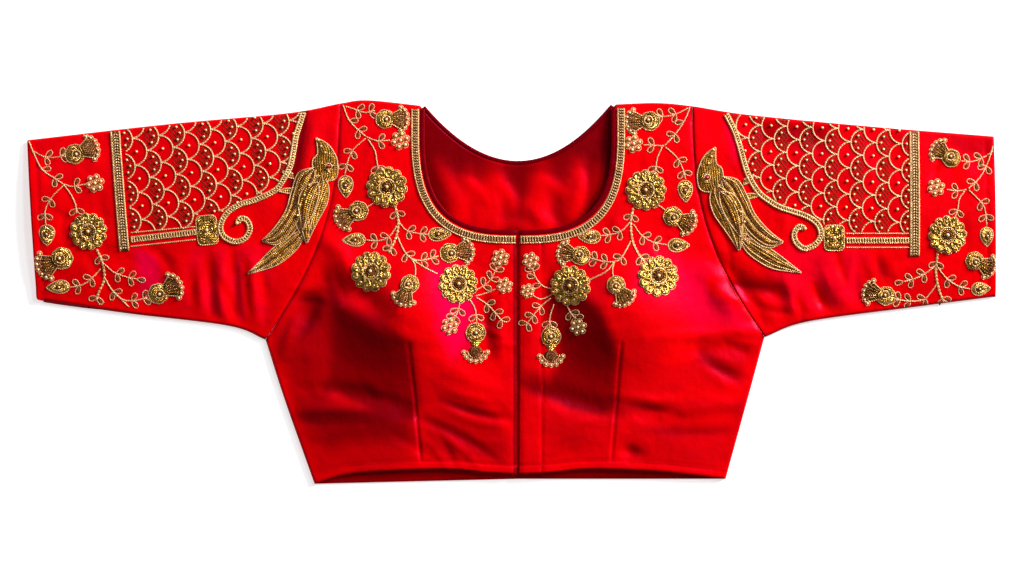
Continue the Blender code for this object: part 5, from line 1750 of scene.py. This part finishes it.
def twist():
    """Strands laid round a cord: a wave of its run over the pitch, leaning by the slant as it goes round."""

    def fill(tree, given):
        split = add_node(tree, "ShaderNodeSeparateXYZ", {"Vector": given["Vector"]}).outputs
        turn = scaled(tree, split["Y"], given["Slant"], calculate(tree, "DIVIDE", split["X"], given["Pitch"]))
        wave = calculate(tree, "SINE", product(tree, turn, 2 * math.pi))
        return {"Height": scaled(tree, wave, 0.5, 0.5)}

    sockets = [("Vector", "NodeSocketVector", None), ("Pitch", "NodeSocketFloat", 0.0012),
               ("Slant", "NodeSocketFloat", 1.0)]
    return group("Twisted Thread", sockets, ["Height"], fill)


def placed(tree, shared, **values):
    """A shared group in a material, with its own values."""
    return add_node(tree, "ShaderNodeGroup", values, node_tree=shared).outputs


def on_object(tree):
    """Places in the piece's own frame."""
    return add_node(tree, "ShaderNodeTexCoord").outputs["Object"]


def on_sewing(tree):
    """Places along and round a thread, or out and round a pad, in metres."""
    return add_node(tree, "ShaderNodeUVMap", uv_map="Sewn").outputs["UV"]


def blank(name, constants):
    """A new material with a Principled shader and its plain values."""
    made = bpy.data.materials.new(name)
    made.use_nodes = True
    shader = made.node_tree.nodes["Principled BSDF"]
    for label, value in constants.items():
        shader.inputs[label].default_value = value
    return made, made.node_tree, shader.inputs


def bumps(tree, heights):
    """Bump nodes one on another: each row is a height, its strength and its distance."""
    normal = None
    for height, strength, distance in heights:
        sockets = {"Height": height, "Strength": strength, "Distance": distance}
        if normal is not None:
            sockets["Normal"] = normal
        normal = add_node(tree, "ShaderNodeBump", sockets).outputs["Normal"]
    return normal


def satin_finish(name, colour, deep, hollow, bloom, glow, gloss=0.4):
    """Satin: painted shade and painted highlight come from the panel's own attribute, over unevenness, weave and
    stitches, with painted shade in the stitches' grooves.
    """
    made, tree, shader = blank(name, {"Specular IOR Level": gloss, "Specular Tint": (*glow, 1.0),
                                      "Sheen Weight": 0.04, "Sheen Roughness": 0.4, "Sheen Tint": (*glow, 1.0)})
    place = on_object(tree)
    # The panel's attribute: stitch distance and run, and in z its painted shade and painted highlight
    line = add_node(tree, "ShaderNodeAttribute", attribute_name="stitching").outputs["Vector"]
    cloth = placed(tree, weave(), Vector=place)
    broad = placed(tree, uneven(), Vector=place, Scale=22.0)["Mask"]
    fine = placed(tree, uneven(), Vector=place, Scale=95.0)["Mask"]
    sewn = placed(tree, stitching(), Line=line)
    shade = add_node(tree, "ShaderNodeSeparateXYZ", {"Vector": line}).outputs["Z"]
    # Painted highlight where the attribute's z is below 0
    base = mixed(tree, remap(tree, shade, 0.0, -1.0), colour, bloom)
    base = mixed(tree, product(tree, broad, 0.42), base, deep)
    # Painted shade where the attribute's z is above 0
    base = mixed(tree, remap(tree, shade, 0.0, 1.0), base, hollow)
    base = mixed(tree, product(tree, cloth["Slub"], 0.12), base, deep)
    # Painted shade in the groove beside each stitched line
    base = mixed(tree, product(tree, sewn["Groove"], 0.8), base, deep)
    base = mixed(tree, product(tree, sewn["Thread"], 0.6), base, colour)
    tree.links.new(base, shader["Base Color"])
    rough = scaled(tree, broad, 0.08, scaled(tree, fine, 0.04, 0.30))
    tree.links.new(rough, shader["Roughness"])
    rows = [(fine, 0.25, 0.0006), (broad, 0.25, 0.0022), (sewn["Thread"], 0.8, 0.0003),
            (cloth["Height"], 0.12, 0.00008), (cloth["Slub"], 0.2, 0.0001)]
    tree.links.new(bumps(tree, rows), shader["Normal"])
    return made


def metal_finish(name, colour, deep, roughness, metallic, pitch, slant, depth, coils=0.0):
    """Metal thread: the laid strands of a cord, or rows of coiled wire, with painted shade in the hollows between
    strands or in crumpled patches, and worn.
    """
    made, tree, shader = blank(name, {"Metallic": metallic})
    place, run = on_object(tree), on_sewing(tree)
    strands = placed(tree, twist(), Vector=run, Pitch=pitch, Slant=slant)["Height"]
    worn = placed(tree, uneven(), Vector=place, Scale=260.0)["Mask"]
    crumpled = placed(tree, uneven(), Vector=place, Scale=210.0)["Mask"]
    # Painted shade between the strands, or for coils in crumpled patches
    hollow = calculate(tree, "SUBTRACT", 1.0, strands)
    painted_crevice_shade = product(tree, hollow, 0.45) if not coils else product(tree, crumpled, 0.55)
    share = scaled(tree, worn, 0.4, painted_crevice_shade)
    tree.links.new(mixed(tree, share, colour, deep), shader["Base Color"])
    tree.links.new(scaled(tree, worn, 0.16, roughness), shader["Roughness"])
    rows = [(strands, 0.8, depth), (crumpled, 0.8, depth)]
    if coils:
        cross = placed(tree, twist(), Vector=run, Pitch=1000.0, Slant=coils)["Height"]
        rows.insert(0, (cross, 0.8, depth))
    tree.links.new(bumps(tree, rows), shader["Normal"])
    return made


def bead_finish(name, colour, deep, roughness, metallic):
    """Polished metal or glass, a little worn."""
    made, tree, shader = blank(name, {"Metallic": metallic, "Coat Weight": 0.4, "Coat Roughness": 0.08})
    place = on_object(tree)
    worn = placed(tree, uneven(), Vector=place, Scale=420.0)["Mask"]
    tree.links.new(mixed(tree, product(tree, worn, 0.6), colour, deep), shader["Base Color"])
    tree.links.new(scaled(tree, worn, 0.15, roughness), shader["Roughness"])
    return made


def thread_finish(name, colour, deep, pitch):
    """Silk or cotton thread, its plies showing."""
    made, tree, shader = blank(name, {"Sheen Weight": 0.02, "Sheen Roughness": 0.5, "Specular IOR Level": 0.15})
    place, run = on_object(tree), on_sewing(tree)
    plies = placed(tree, twist(), Vector=run, Pitch=pitch, Slant=1.0)["Height"]
    worn = placed(tree, uneven(), Vector=place, Scale=300.0)["Mask"]
    share = scaled(tree, worn, 0.4, product(tree, plies, 0.4))
    tree.links.new(mixed(tree, share, colour, deep), shader["Base Color"])
    tree.links.new(scaled(tree, worn, 0.15, 0.55), shader["Roughness"])
    tree.links.new(bumps(tree, [(plies, 0.7, 0.0002), (worn, 0.3, 0.0002)]), shader["Normal"])
    return made


def floor_finish(name, colour):
    """The plain ground, barely uneven."""
    made, tree, shader = blank(name, {"Specular IOR Level": 0.2, "Emission Strength": 0.6})
    place = on_object(tree)
    broad = placed(tree, uneven(), Vector=place, Scale=3.0)["Mask"]
    tree.links.new(mixed(tree, product(tree, broad, 0.03), colour, (0.8, 0.8, 0.8)), shader["Base Color"])
    tree.links.new(scaled(tree, broad, 0.05, 0.7), shader["Roughness"])
    return made


def material(name):
    """The finish of that name, made the first time it is asked for."""
    title = f"blouse {name}"
    found = bpy.data.materials.get(title)
    if found:
        return found
    chosen = bpy.context.scene.blouse
    gold, pale, copper, bead, trim, ground = (
        tuple(getattr(chosen, part)) for part in ("gold", "pale_gold", "copper", "bead", "piping", "floor"))
    reds = [tuple(getattr(chosen, part)) for part in
            ("satin", "satin_deep", "satin_hollow", "satin_bloom", "satin_glow")]
    shadow = (0.12, 0.045, 0.004)

    def darker(shade, share):
        return tuple(part * share for part in shade)

    make, *values = {
        "satin": (satin_finish, *reds),
        "piping": (satin_finish, trim, darker(trim, 0.5), darker(trim, 0.5), trim, reds[0], 0.12),
        "bead": (bead_finish, bead, gold, 0.2, 0.2),
        "garnet": (bead_finish, (0.5, 0.01, 0.01), (0.2, 0.0, 0.0), 0.1, 0.1),
        "hook": (bead_finish, (0.72, 0.70, 0.68), (0.4, 0.38, 0.36), 0.25, 1.0),
        "seed": (thread_finish, (0.16, 0.07, 0.02), (0.05, 0.015, 0.005), 0.0008),
        "netting": (thread_finish, (0.22, 0.03, 0.008), (0.08, 0.005, 0.0), 0.0008),
        "floor": (floor_finish, ground),
        "cord": (metal_finish, pale, darker(pale, 0.45), 0.38, 0.35, 0.0019, 1.0, 0.0003),
        "pale": (metal_finish, pale, darker(gold, 0.5), 0.32, 0.45, 0.0021, 1.0, 0.00035),
        "dull": (metal_finish, darker(pale, 0.75), darker(gold, 0.25), 0.34, 0.5, 0.0021, 1.0, 0.00035),
        "coil": (metal_finish, gold, shadow, 0.2, 0.9, 0.0018, 0.0, 0.0004, 450.0),
        "petal": (metal_finish, gold, shadow, 0.2, 0.95, 0.0018, 0.0, 0.00018, 450.0),
        "shade": (metal_finish, tuple(part * 0.68 * part ** 0.4 for part in gold), shadow, 0.3, 0.8, 0.0018,
                  0.0, 0.0005, 450.0),
        "copper": (metal_finish, copper, darker(copper, 0.4), 0.32, 0.6, 0.0016, 0.0, 0.0004, 500.0),
    }[name]
    return make(title, *values)


def colour(name, description, default):
    """A colour that the sidebar shows."""
    return bpy.props.FloatVectorProperty(name=name, description=description, default=default, subtype="COLOR",
                                         size=3, min=0.0, max=1.0)


def size(name, description, default):
    """A length that the sidebar shows."""
    return bpy.props.FloatProperty(name=name, description=description, default=default, unit="LENGTH", min=0.0)


class BlouseSettings(bpy.types.PropertyGroup):
    """Colours, and sizes of the embroidery, that a user would change."""

    satin: colour("Satin", "Colour of the blouse's satin", (0.82, 0.0, 0.0006))
    # The satin's deeper uneven tone and thicker threads, and the painted shade in its stitched grooves
    satin_deep: colour("Deep satin", "Colour of the satin in its hollows and thicker threads", (0.45, 0.0, 0.0003))
    # The colour of the satin's painted shade
    satin_hollow: colour("Hollows", "Colour of the satin where it turns away from the light", (0.17, 0.0, 0.0002))
    # The colour of the satin's painted highlight
    satin_bloom: colour("Bloom", "Colour of the satin where it crowns", (0.98, 0.0, 0.085))
    satin_glow: colour("Glow", "Tint of the light that the satin throws back", (1.0, 0.0, 0.16))
    piping: colour("Piping", "Colour of the corded edges of both necklines", (0.26, 0.0, 0.006))
    gold: colour("Gold", "Colour of the coiled gold wire", (0.84, 0.49, 0.11))
    pale_gold: colour("Pale gold", "Colour of the corded outlines and stems", (0.95, 0.58, 0.28))
    copper: colour("Copper", "Colour of the darker coil in flower centres and buds", (0.24, 0.06, 0.01))
    bead: colour("Beads", "Colour of the beads", (1.0, 0.74, 0.36))
    floor: colour("Floor", "Colour of the floor", (0.92, 0.92, 0.92))
    leaf_length: size("Leaf length", "Length of a leaf's loop", 0.0082)
    leaf_width: size("Leaf width", "Width of a leaf's loop", 0.0046)
    petals: bpy.props.IntProperty(name="Petals", description="Petals of each large flower", default=12,
                                  min=5, max=16)


class BLOUSE_OT_stage(bpy.types.Operator):
    """Makes the floor, the soft lights, the world and the camera."""

    bl_idname = "blouse.stage"
    bl_label = "Stage"

    def execute(self, context):
        scene = context.scene
        edge = np.linspace(-FLOOR_REACH, FLOOR_REACH, 5)
        x, y = np.meshgrid(edge, edge)
        points = np.stack([x, y, np.full_like(x, FLOOR_LEVEL)], -1).reshape(-1, 3)
        mesh = bpy.data.meshes.new("floor")
        mesh.from_pydata(points.tolist(), [], grid_faces(5, 5).tolist())
        mesh.materials.append(material("floor"))
        floor = bpy.data.objects.new("floor", mesh)
        scene.collection.objects.link(floor)
        world = bpy.data.worlds.new("studio")
        scene.world = world
        world.use_nodes = True
        back = world.node_tree.nodes["Background"]
        back.inputs["Color"].default_value = (1.0, 1.0, 1.0, 1.0)
        back.inputs["Strength"].default_value = WORLD_LIGHT
        for name, place, wide, power in LIGHTS:
            light = bpy.data.lights.new(name, "AREA")
            light.shape = "DISK"
            light.size = wide
            light.energy = power
            lamp = bpy.data.objects.new(name, light)
            lamp.location = place
            lamp.rotation_euler = Vector(place).to_track_quat("Z", "Y").to_euler()
            scene.collection.objects.link(lamp)
        camera = bpy.data.cameras.new("camera")
        camera.sensor_width = 36.0
        camera.lens = CAMERA_LENS
        eye = bpy.data.objects.new("camera", camera)
        eye.location = CAMERA_PLACE
        scene.collection.objects.link(eye)
        scene.camera = eye
        scene.view_settings.view_transform = "Standard"
        return {"FINISHED"}


class BLOUSE_OT_back(bpy.types.Operator):
    """Makes the back, which shows inside the neck."""

    bl_idname = "blouse.back"
    bl_label = "Back"

    def execute(self, context):
        plan, height = back_surface()
        panel("cloth_back", "back", plan, height, 1)
        return {"FINISHED"}


class BLOUSE_OT_fronts(bpy.types.Operator):
    """Makes the two fronts, with their cups, darts and hems."""

    bl_idname = "blouse.fronts"
    bl_label = "Fronts"

    def execute(self, context):
        for side in SIDES:
            plan, height = front_surface(side)
            panel(f"cloth_front_{side}", f"front_{side}", plan, height, -1, side, "front")
        return {"FINISHED"}


class BLOUSE_OT_sleeves(bpy.types.Operator):
    """Makes the two sleeves, tubes laid flat."""

    bl_idname = "blouse.sleeves"
    bl_label = "Sleeves"

    def execute(self, context):
        for side in SIDES:
            plan, height = sleeve_surface(side)
            panel(f"cloth_sleeve_{side}", f"sleeve_{side}", plan, height, -1, side, "sleeve", wrap=True)
        return {"FINISHED"}


class BLOUSE_OT_underlap(bpy.types.Operator):
    """Makes the strip under the centre opening."""

    bl_idname = "blouse.underlap"
    bl_label = "Underlap"

    def execute(self, context):
        x = np.linspace(-UNDERLAP["right"], UNDERLAP["left"], 29)
        y = np.linspace(UNDERLAP["bottom"], UNDERLAP["top"], 120)
        plan = np.stack(np.meshgrid(x, y), axis=-1)
        height = np.zeros(plan.shape[:2])
        for side in SIDES:
            part = (plan[..., 0] < 0) == (side == "right")
            mine = own(plan[part], side)
            level = FOLD_HEIGHT + swell(from_folds(mine, side))
            height[part] = level + cup(mine, side) + folds(mine, CREASES[side])
        panel("cloth_underlap", "underlap", plan, height - CLOTH - UNDERLAP_ROOM, -1)
        return {"FINISHED"}


class BLOUSE_OT_pipings(bpy.types.Operator):
    """Makes the corded piping of both necklines."""

    bl_idname = "blouse.pipings"
    bl_label = "Pipings"

    def execute(self, context):
        for side in SIDES:
            line = front_neckline(side, FRONT_PIPING["width"] / 2).at(np.linspace(0, NEARLY_ALL, 200))
            level = lies(line, side, "front") - CLOTH / 2
            piping(f"corded_edge_{side}", f"piping_front_{side}", own(line, side), level, **FRONT_PIPING)
        share = np.linspace(0, NEARLY_ALL, 100)
        halves = {side: own(back_neckline(side, BACK_PIPING["width"] / 2).at(share), side) for side in SIDES}
        line = np.vstack([halves["right"][::-1], halves["left"][1:]])
        level = BACK_PIPING["height"] / 2 + np.clip(folds(line, BACK_RIPPLES), 0, None)
        piping("corded_edge_back", "piping_back", line, level, **BACK_PIPING)
        return {"FINISHED"}


class BLOUSE_OT_hooks(bpy.types.Operator):
    """Gives the hooks under the centre opening their metal finish."""

    bl_idname = "blouse.hooks"
    bl_label = "Hooks"

    def execute(self, context):
        for name, node in frame["nodes"].items():
            if name.startswith("hook_"):
                node.data.materials.clear()
                node.data.materials.append(material("hook"))
        return {"FINISHED"}


class BLOUSE_OT_borders(bpy.types.Operator):
    """Sews the borders of the neck and sleeves, the scrolls, the rails and the blocks."""

    bl_idname = "blouse.borders"
    bl_label = "Borders"

    def execute(self, context):
        for side in SIDES:
            neck_border(side)
            cuff_border(side)
            sleeve_bands(side)
        return {"FINISHED"}


class BLOUSE_OT_nets(bpy.types.Operator):
    """Sews the fish-scale nets of the sleeves."""

    bl_idname = "blouse.nets"
    bl_label = "Nets"

    def execute(self, context):
        for side in SIDES:
            net(side)
        return {"FINISHED"}


class BLOUSE_OT_stems(bpy.types.Operator):
    """Sews the stems and their leaves."""

    bl_idname = "blouse.stems"
    bl_label = "Stems and leaves"

    def execute(self, context):
        chosen = context.scene.blouse
        for piece in ("front", "sleeve"):
            for side in SIDES:
                work = Work()
                for row in rows_on(STEMS, piece, side):
                    stem(work, piece, *row, chosen.leaf_length, chosen.leaf_width)
                work.finish(f"stems_{piece}_{side}")
        return {"FINISHED"}


class BLOUSE_OT_flowers(bpy.types.Operator):
    """Sews the eight large flowers."""

    bl_idname = "blouse.flowers"
    bl_label = "Flowers"

    def execute(self, context):
        petals = context.scene.blouse.petals
        for number, (x, y, radius) in enumerate(FLOWERS, 1):
            work = Work()
            flower(work, np.array([x, y]) * MM, piece_at(x), radius * MM, petals, 0.4 * number)
            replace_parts(work.finish(f"sewn_flower_{number}"), f"flower_{number}")
        return {"FINISHED"}


class BLOUSE_OT_buds(bpy.types.Operator):
    """Sews the buds, the hanging buds, the drops and the small bead flowers."""

    bl_idname = "blouse.buds"
    bl_label = "Buds, drops and bead flowers"

    def execute(self, context):
        kinds = ((bud, BUDS), (hanging_bud, HANGING_BUDS), (drop, DROPS), (bead_flower, BEAD_FLOWERS))
        for piece in ("front", "sleeve"):
            for side in SIDES:
                work = Work()
                for sewn, rows in kinds:
                    for x, y, *sizes in rows_on(rows, piece, side):
                        sewn(work, np.array([x, y]) * MM, piece, *sizes)
                work.finish(f"buds_{piece}_{side}")
        return {"FINISHED"}


class BLOUSE_OT_birds(bpy.types.Operator):
    """Sews a bird on each sleeve."""

    bl_idname = "blouse.birds"
    bl_label = "Birds"

    def execute(self, context):
        for side in SIDES:
            bird(side)
        return {"FINISHED"}


PIECES = (BLOUSE_OT_back, BLOUSE_OT_fronts, BLOUSE_OT_sleeves, BLOUSE_OT_underlap, BLOUSE_OT_pipings,
          BLOUSE_OT_hooks, BLOUSE_OT_borders, BLOUSE_OT_nets, BLOUSE_OT_stems, BLOUSE_OT_flowers,
          BLOUSE_OT_buds, BLOUSE_OT_birds)


class BLOUSE_PT_pieces(bpy.types.Panel):
    """Lists the blouse's colours, sizes and pieces."""

    bl_idname = "BLOUSE_PT_pieces"
    bl_label = "Choli Blouse"
    bl_space_type = "VIEW_3D"
    bl_region_type = "UI"
    bl_category = "Blouse"

    def draw(self, context):
        chosen = context.scene.blouse
        for name in BlouseSettings.__annotations__:
            self.layout.prop(chosen, name)
        for operator in (BLOUSE_OT_stage, *PIECES):
            self.layout.operator(operator.bl_idname)


CLASSES = (BlouseSettings, BLOUSE_OT_stage, *PIECES, BLOUSE_PT_pieces)


def register():
    for made in CLASSES:
        bpy.utils.register_class(made)
    bpy.types.Scene.blouse = bpy.props.PointerProperty(type=BlouseSettings)


def unregister():
    del bpy.types.Scene.blouse
    for made in reversed(CLASSES):
        bpy.utils.unregister_class(made)


def declare_cloth():
    """Goes through the pieces of cloth, looking up what is sewn on each and what each rests on; their cut sizes
    and areas are not used.
    """
    shown = bpy.data.objects
    for name, (flat, area, rests, carried) in SHEETS.items():
        [shown[part] for part in carried]
        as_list(rests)


def main():
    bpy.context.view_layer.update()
    register()
    for operator in (BLOUSE_OT_stage, *PIECES):
        space, name = operator.bl_idname.split(".")
        getattr(getattr(bpy.ops, space), name)()
    declare_cloth()


if __name__ == "__main__":
    main()
